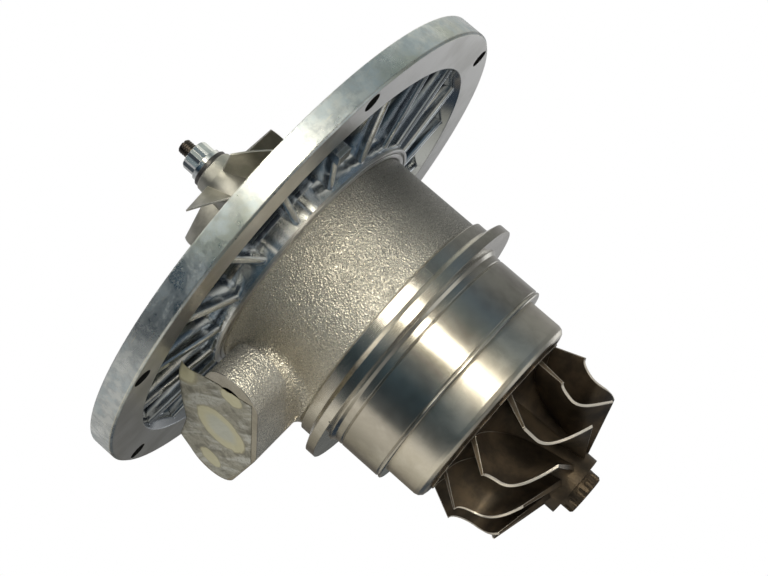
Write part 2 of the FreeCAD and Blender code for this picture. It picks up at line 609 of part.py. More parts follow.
# Each boss grows out of the body with a wide fillet, and the body's rear face cuts the fillets off
doc.recompute()
bossTip = casting.Tip
footFillet = casting.newObject("PartDesign::Fillet", "footFillet")
footFillet.Base = (bossTip, foot_edges(bossTip.Shape, size("bodyRadius")))
footFillet.setExpression("Radius", "Sizes.bossFillet")
doc.recompute()
groove(casting, "bodyEnd", ring_section(
    "Places.bodyEdge", "Places.blankEnd + 1", "0", "Sizes.drainFace + 1"))

# The oil inlet has a low boss that is faced just under the top of the body
inletOutline = base_sketch(casting, "inletOutline")
circle_at(inletOutline, "Sizes.inletOffset", "0", "Sizes.inletPadRadius")
pad(casting, "inletBoss", inletOutline, "Sizes.inletFace")
inletSpot = shifted_sketch(casting, "inletSpot", "XY_Plane", "Sizes.inletFace")
circle_at(inletSpot, "Sizes.inletOffset", "0", "Sizes.inletPadRadius")
pocket(casting, "inletFacing", inletSpot, "Sizes.bodyRadius / 4", reversed_way=True)
turned(casting, "castFlange", [
    ("Places.bodyEdge", "0"),
    ("Places.bodyEdge", "Sizes.bodyRadius"),
    ("Places.bandStart", "Sizes.bandRadius"),
    ("Places.slopeStart", "Sizes.bandRadius"),
    ("Places.rimStart", "Sizes.flangeRadius"),
    ("Places.flangeFace", "Sizes.flangeRadius"),
    ("Places.flangeFace", "Sizes.pilotRadius + Sizes.pilotFoot"),
    ("Places.flangeFace + Sizes.pilotGroove", "Sizes.pilotRadius + Sizes.pilotFoot"),
    ("Places.flangeFace + Sizes.pilotGroove + Sizes.pilotFoot", "Sizes.pilotRadius"),
    *groove_notch("Places.flangeFace + Sizes.footGrooveAt", "Sizes.pilotRadius"),
    *groove_notch("Places.housingEnd - Sizes.endGrooveAt", "Sizes.pilotRadius"),
    ("Places.housingEnd - 0.4", "Sizes.pilotRadius"),
    ("Places.housingEnd", "Sizes.pilotRadius - 0.6"),
    ("Places.housingEnd", "Sizes.noseRadius"),
    ("Places.noseEnd", "Sizes.noseRadius - 2"),
    ("Places.noseEnd", "0"),
])

# Bore for the bearings, wider between them, with a groove for each retaining ring
snapStarts = [
    "Sizes.frontBearingAt - Sizes.endGap - Sizes.snapWidth",
    "Sizes.frontBearingAt + Sizes.bearingLength + Sizes.endGap",
    "Sizes.rearBearingAt - Sizes.endGap - Sizes.snapWidth",
    "Sizes.rearBearingAt + Sizes.bearingLength + Sizes.endGap",
]
groove(casting, "bearingBore", ring_section(
    "Places.reliefEnd - 1", "Places.bossStart", "0", "Sizes.boreRadius"))
groove(casting, "boreWaist", ring_section(
    "Sizes.frontBearingAt + Sizes.bearingLength + 3", "Sizes.rearBearingAt - 3",
    "Sizes.boreRadius - 1", "Sizes.boreRadius + 1.5"))
for number, start in enumerate(snapStarts, 1):
    groove(casting, f"snapGroove{number}", ring_section(
        f"{start} - Sizes.slipGap / 2", f"{start} + Sizes.snapWidth + Sizes.slipGap / 2",
        "Sizes.boreRadius - 1", "Sizes.boreRadius + Sizes.snapDepth"))
groove(casting, "sealBore", ring_section(
    "Places.bossStart - Sizes.endGap", "Places.noseEnd + 1", "0", "Places.sealBore"))
groove(casting, "thrustPocket", ring_section(
    "Places.housingStart - 1", "Places.thrustSeat", "0", "Sizes.thrustPocketRadius"))
groove(casting, "reliefPocket", ring_section(
    "Places.thrustSeat - 1", "Places.reliefEnd", "0", "Sizes.relief"))
groove(casting, "sealRingGroove", ring_section(
    "Places.housingStart + 1.6", "Places.housingStart + 1.6 + 3 * Sizes.cordRadius",
    "Sizes.bodyRadius - 2 * Sizes.cordRadius + Sizes.slipGap", "Sizes.bodyRadius + 1"))
groove(casting, "airPocket", ring_section(
    "Places.airPocket", "Places.housingEnd + 1",
    "Sizes.noseRadius", "Sizes.shieldRadius - 2 * Sizes.shieldWall"))
groove(casting, "shieldSeat", ring_section(
    "Places.shieldSeat", "Places.housingEnd + 1",
    "Sizes.shieldRadius - 2 * Sizes.shieldWall - 1", "Sizes.shieldRadius + Sizes.slipGap"))
# The oil chamber lies below and beside the bearing tube, and the web above it carries the galleries
groove(casting, "oilChamber", [
    ("Places.oilStart", "-Sizes.tubeRadius"),
    ("Places.oilEnd", "-Sizes.tubeRadius"),
    ("Places.oilEnd", "-Sizes.oilRadius + 6"),
    ("Places.oilEnd - 6", "-Sizes.oilRadius"),
    ("Places.oilStart", "-Sizes.oilRadius"),
], plane="XZ_Plane", sweep="Sizes.oilSweep")

groove(casting, "flingGroove", ring_section(
    "Places.bossStart", "Places.bossStart + Sizes.flingWidth", "0", "Sizes.flingRadius"))

# Drain port and its two screw holes, the slots that empty the pockets, and the inlet's threaded hole
drainPort = shifted_sketch(casting, "drainPort", "XY_Plane", "-Sizes.drainFace")
circle_at(drainPort, "Sizes.drainOffset", "0", "Sizes.drainRadius")
pocket(casting, "drainPortCut", drainPort, "Sizes.drainFace - Sizes.oilRadius + 10", reversed_way=True)
drainHoles = shifted_sketch(casting, "drainHoles", "XY_Plane", "-Sizes.drainFace")
circle_at(drainHoles, "Sizes.drainOffset", "Places.drainHalf", "Sizes.drainHoleRadius")
circle_at(drainHoles, "Sizes.drainOffset", "-Places.drainHalf", "Sizes.drainHoleRadius")
pocket(casting, "drainHolesCut", drainHoles, "Sizes.drainHoleDepth", reversed_way=True)
returnSlot = shifted_sketch(casting, "returnSlot", "XY_Plane", "-Sizes.thrustPocketRadius - 5")
outline(returnSlot, rectangle("Places.thrustFront", "-7", "Places.oilStart + 1", "7"))
pocket(casting, "returnSlotCut", returnSlot, "10", reversed_way=True)
flingSlot = shifted_sketch(casting, "flingSlot", "XY_Plane", "-Sizes.tubeRadius - 10")
outline(flingSlot, rectangle("Places.oilEnd - 8", "-6", "Places.bossStart + Sizes.flingWidth", "6"))
pocket(casting, "flingSlotCut", flingSlot,
       "Sizes.tubeRadius + 10 - Sizes.sealBossRadius", reversed_way=True)
waistDrain = shifted_sketch(casting, "waistDrain", "XY_Plane", "-Sizes.tubeRadius - 2")
circle_at(waistDrain, "(Sizes.frontBearingAt + Sizes.bearingLength + Sizes.rearBearingAt) / 2", "0", "3")
pocket(casting, "waistDrainCut", waistDrain, "Sizes.tubeRadius", reversed_way=True)
inletHole = shifted_sketch(casting, "inletHole", "XY_Plane", "Sizes.inletFace")
circle_at(inletHole, "Sizes.inletOffset", "0", "Sizes.inletRadius")
pocket(casting, "inletHoleCut", inletHole, "Sizes.inletDepth")
screwThread = shifted_sketch(casting, "screwThread", "YZ_Plane", "Places.housingStart")
circle_at(screwThread, "Sizes.screwCircle", "0", "Sizes.screwRadius + Sizes.pressGap")
screwThreadCut = pocket(casting, "screwThreadCut", screwThread, "Sizes.screwReach + 2", reversed_way=True)
doc.recompute()
polar(casting, screwThreadCut, "screwThreads", "Sizes.screwCount")
doc.recompute()

# Oil galleries from the inlet to both bearings and to the thrust bearing
galleryTop = FreeCAD.Vector(size("inletOffset"), 0, size("inletFace") - size("inletDepth") + 1)
galleryEnds = [
    FreeCAD.Vector(size("frontBearingAt") + size("bearingLength") / 2, 0, size("boreRadius") - 0.5),
    FreeCAD.Vector(size("rearBearingAt") + size("bearingLength") / 2, 0, size("boreRadius") - 0.5),
    FreeCAD.Vector(place("thrustSeat") - 0.5, 0, size("relief") + 2.5),
]
gallery = rod(size("galleryRadius"), galleryTop, galleryEnds[0])
for end in galleryEnds[1:]:
    gallery = gallery.fuse(rod(size("galleryRadius"), galleryTop, end))
galleries = feature_part("oil_galleries", gallery)
housing = doc.addObject("Part::Cut", "bearing_housing")
housing.Label = "bearing_housing"
housing.Base = casting
housing.Tool = galleries
doc.recompute()


def slotted(label, body, left, bottom, right, top, plane="XY_Plane", reversed_way=False):
    """Cuts a rectangle out of a turned body, on one side of an origin plane."""
    sketch = base_sketch(body, label + "Slot", plane)
    outline(sketch, rectangle(left, bottom, right, top))
    pocket(body, label + "SlotCut", sketch, "Sizes.plateRadius", reversed_way=reversed_way)


def split_ring(label, start, width, inner, outer, opening):
    """A ring of square section that is open at its lowest point."""
    body = turned_part(label, ring_section(start, f"{start} + {width}", inner, outer))
    slotted(label, body, f"{start} - 1", f"-{opening} / 2", f"{start} + {width} + 1", f"{opening} / 2")
    return body


def cord_ring(label, centre_x, centre_radius):
    """A round rubber ring lying in its groove."""
    ring = doc.addObject("Part::Torus", label)
    ring.Label = label
    ring.Placement = FreeCAD.Placement(FreeCAD.Vector(value(centre_x), 0, 0),
                                       FreeCAD.Rotation(FreeCAD.Vector(0, 1, 0), 90))
    ring.setExpression("Placement.Base.x", centre_x)
    ring.setExpression("Radius1", centre_radius)
    ring.setExpression("Radius2", "Sizes.cordRadius")
    return ring


# Screws that hold the plate to the housing, with a hexagon socket in each head
screwEnd = "Places.housingStart + Sizes.screwReach"
screwBody = new_body("one_plate_screw")
turned(screwBody, "screwTurned", [
    ("Places.headFront", "0"),
    (screwEnd, "0"),
    (screwEnd, "Sizes.screwRadius - 0.5"),
    (screwEnd + " - 0.5", "Sizes.screwRadius"),
    ("Places.headFront + Sizes.screwHeadHeight", "Sizes.screwRadius"),
    ("Places.headFront + Sizes.screwHeadHeight", "Sizes.screwHead"),
    ("Places.headFront + 0.5", "Sizes.screwHead"),
    ("Places.headFront", "Sizes.screwHead - 0.5"),
])


def hexagon(sketch, radius, turn=0):
    """A six sided outline round the sketch's origin."""
    corners = []
    for index in range(6):
        angle = turn + 60 * index
        corners.append((f"({radius}) * cos({angle} deg)", f"({radius}) * sin({angle} deg)"))
    outline(sketch, corners)


socket = shifted_sketch(screwBody, "socket", "YZ_Plane", "Places.headFront")
hexagon(socket, "Sizes.screwHead * 0.55", 10)
pocket(screwBody, "socketCut", socket, "Sizes.screwHeadHeight * 0.6", reversed_way=True)
doc.recompute()
screwGroup = []
for index in range(int(size("screwCount"))):
    turn = 360 * index / size("screwCount")
    one = screwBody.Shape.copy()
    one.translate(around(turn, size("screwCircle"), 0))
    screwGroup.append(one)
plateScrews = feature_part("plate_screws", Part.makeCompound(screwGroup))

# Rubber ring between the plate's lip and the housing
plateSeal = cord_ring("plate_seal", "Places.housingStart + 1.6 + 1.5 * Sizes.cordRadius",
                      "Sizes.bodyRadius + Sizes.slipGap - Sizes.cordRadius")

# Seal insert in the plate's bore, with its rubber ring and its retaining ring
insertGroove = "Sizes.insertStep + 1.2"
insertFloor = "Sizes.insertRadius + Sizes.slipGap - 2 * Sizes.cordRadius"
insert = turned_part("seal_insert", [
    ("Sizes.insertStep", "Places.insertBore"),
    ("Sizes.insertRear", "Places.insertBore"),
    ("Sizes.insertRear", "Sizes.insertRadius"),
    (insertGroove + " + 3 * Sizes.cordRadius", "Sizes.insertRadius"),
    (insertGroove + " + 3 * Sizes.cordRadius", insertFloor),
    (insertGroove, insertFloor),
    (insertGroove, "Sizes.insertRadius"),
    ("Sizes.insertStep", "Sizes.insertRadius"),
])
groove(insert, "insertDish", [
    ("Sizes.insertStep - 1", "Places.insertBore + 3"),
    ("Sizes.insertStep + 1.5", "Places.insertBore + 3"),
    ("Sizes.insertStep + 1.5", "Sizes.insertRadius - 6"),
    ("Sizes.insertStep - 1", "Sizes.insertRadius - 5"),
])
insertSeal = cord_ring("insert_seal", insertGroove + " + 1.5 * Sizes.cordRadius",
                       "Sizes.insertRadius + Sizes.slipGap - Sizes.cordRadius")
lockRing = split_ring(
    "insert_lock_ring", "Sizes.insertStep - Sizes.lockWidth", "Sizes.lockWidth", "Sizes.insertRadius - 2.2",
    "Sizes.insertRadius + Sizes.lockDepth - Sizes.slipGap", "2 * Sizes.snapOpening")

# Thrust bearing with its pins, and the deflector that keeps its oil off the seal
deflectorRadius = "Sizes.thrustPocketRadius - 3 * Sizes.slipGap"
deflector = turned_part("oil_deflector", [
    ("Sizes.insertRear", "Places.insertBore + Sizes.endGap"),
    ("Sizes.insertRear + Sizes.deflectorWall", "Places.insertBore + Sizes.endGap"),
    ("Sizes.insertRear + Sizes.deflectorWall", deflectorRadius + " - Sizes.deflectorWall"),
    ("Places.thrustFront", deflectorRadius + " - Sizes.deflectorWall"),
    ("Places.thrustFront", deflectorRadius),
    ("Sizes.insertRear", deflectorRadius),
])
slotted("deflector", deflector, "Sizes.insertRear + Sizes.deflectorWall", "-8", "Places.thrustSeat", "8")
thrustBore = "Sizes.sleeveRadius + Sizes.slipGap"
thrust = turned_part("thrust_bearing", ring_section(
    "Places.thrustFront", "Places.thrustSeat", thrustBore, deflectorRadius))
slotted("thrust", thrust, "Places.thrustFront - 1", "-6", "Places.thrustSeat + 1", "6")
padGroove = shifted_sketch(thrust, "padGroove", "YZ_Plane", "Places.thrustFront")
outline(padGroove, rectangle("Sizes.sleeveRadius - 1", "-0.8", "Sizes.collarRadius - 1", "0.8"))
padGrooveCut = pocket(thrust, "padGrooveCut", padGroove, "0.5", reversed_way=True)
doc.recompute()
polar(thrust, padGrooveCut, "padGrooves", "6")
rearGroove = shifted_sketch(thrust, "rearGroove", "YZ_Plane", "Places.thrustSeat")
outline(rearGroove, rectangle("Sizes.sleeveRadius - 1", "-0.8", "Sizes.collarRadius - 1", "0.8"))
rearGrooveCut = pocket(thrust, "rearGrooveCut", rearGroove, "0.5")
doc.recompute()
polar(thrust, rearGrooveCut, "rearGrooves", "6")
feedHole = shifted_sketch(thrust, "feedHole", "YZ_Plane", "Places.thrustSeat")
circle_at(feedHole, "0", "Sizes.relief + 3", "1.4")
pocket(thrust, "feedHoleCut", feedHole, "Sizes.thrustLength / 2 + 0.8")
feedPassage = base_sketch(thrust, "feedPassage")
circle_at(feedPassage, "Places.thrustSeat - Sizes.thrustLength / 2", "0", "0.8")
pocket(thrust, "feedPassageCut", feedPassage, "Sizes.relief + 3", reversed_way=True)
pinHoles = shifted_sketch(thrust, "pinHoles", "YZ_Plane", "Places.thrustSeat")
circle_at(pinHoles, "Sizes.pinCircle", "0", "Sizes.pinRadius + Sizes.pressGap")
circle_at(pinHoles, "-Sizes.pinCircle", "0", "Sizes.pinRadius + Sizes.pressGap")
pocket(thrust, "pinHolesCut", pinHoles, "Sizes.thrustLength + 1")
pinEnd = "Places.thrustSeat + Sizes.reliefDepth"
housingPins = shifted_sketch(casting, "housingPins", "YZ_Plane", "Places.thrustSeat")
circle_at(housingPins, "Sizes.pinCircle", "0", "Sizes.pinRadius + Sizes.pressGap")
circle_at(housingPins, "-Sizes.pinCircle", "0", "Sizes.pinRadius + Sizes.pressGap")
pocket(casting, "housingPinsCut", housingPins, "Sizes.reliefDepth + 0.5", reversed_way=True)
pinBody = new_body("one_thrust_pin")
turned(pinBody, "pinTurned", [
    ("Places.thrustFront + Sizes.endGap", "0"),
    (pinEnd, "0"),
    (pinEnd, "Sizes.pinRadius - 0.3"),
    (pinEnd + " - 0.3", "Sizes.pinRadius"),
    ("Places.thrustFront + Sizes.endGap", "Sizes.pinRadius"),
])
doc.recompute()
pinPair = []
for side in (0, 180):
    one = pinBody.Shape.copy()
    one.translate(around(side, size("pinCircle"), 0))
    pinPair.append(one)
thrustPins = feature_part("thrust_pins", Part.makeCompound(pinPair))


def floating_bearing(label, start):
    """A bronze bush with chamfered bores and oil holes round its middle."""
    end = f"{start} + Sizes.bearingLength"
    body = turned_part(label, [
        (start, "Places.bearingBore + 0.4"),
        (f"{start} + 0.4", "Places.bearingBore"),
        (f"{end} - 0.4", "Places.bearingBore"),
        (end, "Places.bearingBore + 0.4"),
        (end, "Places.bearingOuter - 0.4"),
        (f"{end} - 0.4", "Places.bearingOuter"),
        (f"{start} + 0.4", "Places.bearingOuter"),
        (start, "Places.bearingOuter - 0.4"),
    ])
    hole = base_sketch(body, label + "Hole")
    circle_at(hole, f"{start} + Sizes.bearingLength / 2", "0", "Sizes.bearingHole")
    hole_cut = pocket(body, label + "HoleCut", hole, "Sizes.boreRadius * 2", reversed_way=True)
    doc.recompute()
    polar(body, hole_cut, label + "Holes", "Sizes.bearingHoles")
    return body


frontBearing = floating_bearing("front_floating_bearing", "Sizes.frontBearingAt")
rearBearing = floating_bearing("rear_floating_bearing", "Sizes.rearBearingAt")
snapBodies = []
for number, start in enumerate(snapStarts, 1):
    snapBodies.append(split_ring(
        f"snap_ring_{number}", start, "Sizes.snapWidth", "Places.bearingBore + 1",
        "Sizes.boreRadius + Sizes.snapDepth - Sizes.pressGap", "Sizes.snapOpening"))
doc.recompute()
snapRings = feature_part(
    "bearing_snap_rings", Part.makeCompound([body.Shape.copy() for body in snapBodies]))

# Rotor: shaft, thrust collar, oil sleeve and the two piston rings
turbineRingAt = "Places.bossStart + Sizes.flingWidth + 5"
sleeveRingAt = "Sizes.insertRear - 6"
ringFloor = "(Sizes.sealRingWall + Sizes.endGap)"
shaft = turned_part("rotor_shaft", [
    ("-Sizes.stubTip", "0"),
    ("Places.weldFace", "0"),
    ("Places.weldFace", "Sizes.sealBossRadius"),
    (turbineRingAt + " + Sizes.sealRingWidth + 2 * Sizes.slipGap", "Sizes.sealBossRadius"),
    (turbineRingAt + " + Sizes.sealRingWidth + 2 * Sizes.slipGap", f"Places.sealBore - {ringFloor}"),
    (turbineRingAt, f"Places.sealBore - {ringFloor}"),
    (turbineRingAt, "Sizes.sealBossRadius"),
    ("Places.bossStart", "Sizes.sealBossRadius"),
    ("Places.bossStart", "Places.journalRadius"),
    ("Sizes.rearBearingAt - 1", "Places.journalRadius"),
    ("Sizes.rearBearingAt - 2", "Places.journalRadius - 0.5"),
    ("Sizes.frontBearingAt + Sizes.bearingLength + 2", "Places.journalRadius - 0.5"),
    ("Sizes.frontBearingAt + Sizes.bearingLength + 1", "Places.journalRadius"),
    ("Places.journalStart + 0.4", "Places.journalRadius"),
    ("Places.journalStart", "Places.journalRadius - 0.4"),
    ("Places.journalStart", "Sizes.stubRadius"),
    ("Places.hubNose + 1.2", "Sizes.stubRadius"),
    ("Places.hubNose + 0.4", "Sizes.threadRadius"),
    ("-Sizes.stubTip + 0.6", "Sizes.threadRadius"),
    ("-Sizes.stubTip", "Sizes.threadRadius - 0.6"),
])
tipSlot = shifted_sketch(shaft, "tipSlot", "YZ_Plane", "-Sizes.stubTip")
outline(tipSlot, rectangle("-Sizes.threadRadius * 2", "-0.4", "Sizes.threadRadius * 2", "0.4"))
pocket(shaft, "tipSlotCut", tipSlot, "1.2", reversed_way=True)
stubBore = "Sizes.stubRadius + Sizes.pressGap"
collar = turned_part("thrust_collar", ring_section(
    "Places.collarStart", "Places.journalStart", stubBore, "Sizes.collarRadius"))
sleeveFlange = "Places.thrustFront - Sizes.endGap"
sleeve = turned_part("oil_sleeve", [
    ("Places.wheelBack", stubBore),
    ("Places.collarStart", stubBore),
    ("Places.collarStart", "Sizes.sleeveRadius - Sizes.endGap"),
    (sleeveFlange, "Sizes.sleeveRadius - Sizes.endGap"),
    (sleeveFlange, "Sizes.collarRadius"),
    (sleeveFlange + " - 2", "Sizes.collarRadius"),
    (sleeveFlange + " - 2.8", "Sizes.sleeveRadius"),
    (sleeveRingAt + " + Sizes.sealRingWidth + 2 * Sizes.slipGap", "Sizes.sleeveRadius"),
    (sleeveRingAt + " + Sizes.sealRingWidth + 2 * Sizes.slipGap", f"Places.insertBore - {ringFloor}"),
    (sleeveRingAt, f"Places.insertBore - {ringFloor}"),
    (sleeveRingAt, "Sizes.sleeveRadius"),
    ("Places.wheelBack", "Sizes.sleeveRadius"),
])
sleeveSeal = split_ring(
    "sleeve_seal_ring", sleeveRingAt + " + Sizes.slipGap", "Sizes.sealRingWidth",
    "Places.insertBore - Sizes.sealRingWall", "Places.insertBore - Sizes.pressGap / 2",
    "Sizes.sealRingJoint")
turbineSeal = split_ring(
    "turbine_seal_ring", turbineRingAt + " + Sizes.slipGap", "Sizes.sealRingWidth",
    "Places.sealBore - Sizes.sealRingWall", "Places.sealBore - Sizes.pressGap / 2", "Sizes.sealRingJoint")

# Heat shield: a cup whose skirt sits in the housing's end and whose face is dished behind the wheel
shieldOuter = [
    ("Places.shieldSeat", "Sizes.shieldRadius"),
    ("Sizes.shieldFront - Sizes.shieldCorner", "Sizes.shieldRadius"),
    ("Sizes.shieldFront - Sizes.shieldCorner * 0.5", "Sizes.shieldRadius - Sizes.shieldCorner * 0.134"),
    ("Sizes.shieldFront - Sizes.shieldCorner * 0.134", "Sizes.shieldRadius - Sizes.shieldCorner * 0.5"),
    ("Sizes.shieldFront", "Sizes.shieldRadius - Sizes.shieldCorner"),
]
shieldInside = "Sizes.shieldRadius - Sizes.shieldWall"
dishBehind = "Sizes.shieldRadius - Sizes.shieldEdge + Sizes.shieldWall"
shield = turned_part("heat_shield", shieldOuter + [
    ("Sizes.shieldFront", "Sizes.shieldRadius - Sizes.shieldEdge + 0.3"),
    ("Places.shieldDishFace", "Sizes.shieldRadius - Sizes.shieldEdge"),
    ("Places.shieldDishFace", "Sizes.shieldHole"),
    ("Places.shieldDishFace - Sizes.shieldWall", "Sizes.shieldHole"),
    ("Places.shieldDishFace - Sizes.shieldWall", dishBehind),
    ("Sizes.shieldFront - Sizes.shieldWall", dishBehind + " + 0.3"),
    ("Sizes.shieldFront - Sizes.shieldWall - 0.5", shieldInside + " - 0.6"),
    ("Sizes.shieldFront - Sizes.shieldCorner", shieldInside),
    ("Places.shieldSeat", shieldInside),
])


def ellipse_quarter(centre_x, centre_radius, reach, rise):
    """Points on a quarter of an ellipse in the half plane over the shaft."""
    def point(share):
        turn = share * math.pi / 2
        return centre_x - reach * math.cos(turn), centre_radius - rise * math.sin(turn)
    return point


def turned_shape(corners, curve):
    """A solid turned from a smooth curve and the straight corners that close it."""
    smooth = Part.BSplineCurve()
    smooth.interpolate([FreeCAD.Vector(along, radius, 0) for along, radius in curve])
    line = [FreeCAD.Vector(along, radius, 0) for along, radius in corners]
    edges = [smooth.toShape()]
    path = [smooth.EndPoint] + line + [smooth.StartPoint]
    for start, end in zip(path, path[1:]):
        edges.append(Part.makeLine(start, end))
    face = Part.Face(Part.Wire(edges))
    return face.revolve(FreeCAD.Vector(), shaftAxis, 360)


def blade(stations, root, tip, buried):
    """A smooth blade through stations, each with a foot on the hub and a tip on the shroud."""
    feet = [around(*station[0]) for station in stations]
    tips = [around(*station[1]) for station in stations]
    middles = [(foot + top) * 0.5 for foot, top in zip(feet, tips)]
    last = len(stations) - 1
    sections = []
    for index, (foot, top) in enumerate(zip(feet, tips)):
        run = middles[min(index + 1, last)] - middles[max(index - 1, 0)]
        side = (top - foot).cross(run)
        side.normalize()
        inward = (foot - top).normalize()
        foot = foot + inward * buried
        corners = [foot + side * (root / 2), top + side * (tip / 2),
                   top - side * (tip / 2), foot - side * (root / 2)]
        sections.append(Part.makePolygon(corners + corners[:1]))
    return Part.makeLoft(sections, True, False)


def blades_round(hub, one_blade, count):
    """Copies of a blade round the shaft, each ending on the hub's surface."""
    trimmed = max(one_blade.cut(hub).Solids, key=lambda solid: solid.Volume)
    copies = []
    for index in range(count):
        turned_blade = trimmed.copy()
        turned_blade.rotate(FreeCAD.Vector(), shaftAxis, 360 * index / count)
        copies.append(turned_blade)
    return copies


# Turbine wheel: eleven blades that are straight at the inlet and bend back at the outlet
hubCurve = ellipse_quarter(
    place("hubFront"), size("discRadius") - 1, place("hubFront") - place("discFront"),
    size("discRadius") - 1 - size("turbineHub"))
tipReach = size("exducerLength")
tipDrop = size("turbineRadius") - size("exducerRadius")
hubPoints = [hubCurve(index / 10) for index in range(11)]
turbineHubSolid = turned_shape([
    (place("noseStart"), size("turbineHub")),
    (place("noseStart"), size("turbineNoseRadius")),
    (place("turbineNoseEnd") - 0.8, size("turbineNoseRadius")),
    (place("turbineNoseEnd"), size("turbineNoseRadius") - 0.8),
    (place("turbineNoseEnd"), 0),
    (place("weldFace"), 0),
    (place("weldFace"), size("weldBossRadius")),
    (place("discBack"), size("weldBossRadius")),
    (place("discBack"), size("discRadius")),
    (place("discFront"), size("discRadius")),
], hubPoints)
bladePitch = 360 / size("turbineBlades")
scallopRadius = 14
for index in range(int(size("turbineBlades"))):
    middle = size("turbinePhase") + bladePitch * (index + 0.5)
    reach = size("discRadius") - size("discScallop") + scallopRadius
    centre = around(middle, reach, place("discBack") - 1)
    cutter = Part.makeCylinder(scallopRadius, size("discRim") + 4, centre, shaftAxis)
    turbineHubSolid = turbineHubSolid.cut(cutter)
cornerAngle = size("turbinePhase") + 9.4
turbineStations = []
for index in range(9):
    share = index / 8
    along, radius = hubCurve(share)
    foot = (cornerAngle - 9.4 - 40.6 * share ** 1.8, radius, along)
    turn = share * math.pi / 2
    shroud = place("inletCorner") + tipReach * (1 - math.cos(turn))
    lean = max(0.0, (shroud - place("inletCorner") - 0.33 * tipReach) / (0.67 * tipReach))
    top = (cornerAngle - 30 * lean ** 2.2, size("turbineRadius") - tipDrop * math.sin(turn), shroud)
    turbineStations.append((foot, top))
turbineBlade = blade(turbineStations, size("turbineRoot"), size("turbineTip"), 1.0)
for index in range(12):
    centre = around(30 * index, size("turbineNoseRadius") + 0.6, place("noseStart") + 1.5)
    notch = Part.makeCylinder(1.6, size("turbineNoseLength"), centre, shaftAxis)
    turbineHubSolid = turbineHubSolid.cut(notch)
turbineHub = feature_part("turbine_hub", turbineHubSolid)
turbineBlades = feature_part("turbine_blades", Part.makeCompound(
    blades_round(turbineHubSolid, turbineBlade, int(size("turbineBlades")))))

# Compressor wheel: six full blades and six short ones between them, all swept back
def compressor_line(share, start_x, end_x, start_radius):
    """A quarter ellipse from the inlet at one radius out to the rim."""
    turn = share * math.pi / 2
    along = start_x + (end_x - start_x) * math.sin(turn)
    radius = size("compressorRadius") - (size("compressorRadius") - start_radius) * math.cos(turn)
    return along, radius


def compressor_stations(first_angle, start, steps):
    """Feet and tips of a compressor blade that starts part of the way along the hub."""
    stations = []
    for index in range(steps + 1):
        share = start + (1 - start) * index / steps
        swing = first_angle - 70 * (1 - (1 - share) ** 1.8) - 12 * share ** 3
        foot_x, foot_radius = compressor_line(
            share, place("inletHub"), place("rimFront"), size("compressorHub"))
        top_x, top_radius = compressor_line(
            share, place("inletTip"), place("outletFront"), size("inducerRadius"))
        stations.append(((swing, foot_radius, foot_x), (swing, top_radius, top_x)))
    return stations


frontCurve = []
for index in range(11):
    frontCurve.append(compressor_line(
        index / 10, place("inletHub"), place("rimFront"), size("compressorHub")))
wheelBore = size("stubRadius") + size("pressGap")
compressorHubSolid = turned_shape([
    (place("wheelBack"), size("compressorRadius")),
    (place("wheelBack"), wheelBore),
    (place("hubNose"), wheelBore),
    (place("hubNose"), size("compressorHub") - 1.2),
    (place("hubNose") + 0.6, size("compressorHub") - 0.6),
], frontCurve)
fullBlade = blade(compressor_stations(size("compressorPhase"), 0, 8), size("compressorRoot"),
                  size("compressorTip"), 0.8)
halfPitch = 180 / size("compressorBlades")
shortStations = compressor_stations(size("compressorPhase") + halfPitch, 0.3, 6)
shortBlade = blade(shortStations, size("compressorRoot"), size("compressorTip"), 0.8)
bladeCount = int(size("compressorBlades"))
compressorHub = feature_part("compressor_hub", compressorHubSolid)
compressorBlades = feature_part("compressor_blades", Part.makeCompound(
    blades_round(compressorHubSolid, fullBlade, bladeCount)
    + blades_round(compressorHubSolid, shortBlade, bladeCount)))

# Nut and washer on the compressor end
threadBore = "Sizes.threadRadius + Sizes.pressGap"
washer = turned_part("nut_washer", [
    ("Places.washerFront", threadBore),
    ("Places.hubNose", threadBore),
    ("Places.hubNose", "Sizes.washerRadius"),
    ("Places.washerFront + 0.3", "Sizes.washerRadius"),
    ("Places.washerFront", "Sizes.washerRadius - 0.3"),
])
nut = turned_part("shaft_nut", ring_section(
    "Places.nutSeat", "Places.washerFront", threadBore, "Sizes.nutFlangeRadius"))
for turn in (0, 30):
    sides = shifted_sketch(nut, f"nutSides{turn}", "YZ_Plane", "Places.nutSeat + 0.5")
    hexagon(sides, "Sizes.nutAcross / 2 / cos(30 deg)", turn)
    pad(nut, f"nutPoints{turn}", sides, "Sizes.nutLength + 0.5", reversed_way=True)
groove(nut, "nutBore", ring_section("Places.nutFront - 1", "Places.washerFront + 1", "0", threadBore))
groove(nut, "nutChamfer", [
    ("Places.nutFront - 1", "Sizes.nutAcross / 2 - 0.4"),
    ("Places.nutFront + 0.9", "Sizes.nutAcross / 2 + 1.2"),
    ("Places.nutFront - 1", "Sizes.nutAcross / 2 + 1.2"),
])

# Masking tape over the drain, torn at one end and trimmed by hand along the flange
tapeCorners = [
    (-24.8, -20.1), (-15.2, -27.2), (-5.9, -32.2), (8.5, -37.3), (16.3, 6.0), (13.2, 24.0), (8.9, 38.9),
    (2.7, 41.1), (-2.5, 40.7), (-7.3, 39.6), (-15.7, 33.4), (-15.0, 16.0), (-19.5, 2.0),
]
tape = new_body("drain_tape")
tapeOutline = shifted_sketch(tape, "tapeOutline", "XY_Plane", "-Sizes.drainFace")
outline(tapeOutline, [(f"Sizes.drainOffset + ({across})", str(up)) for across, up in tapeCorners])
pad(tape, "tapeSheet", tapeOutline, "Sizes.tapeThickness", reversed_way=True)
doc.recompute()

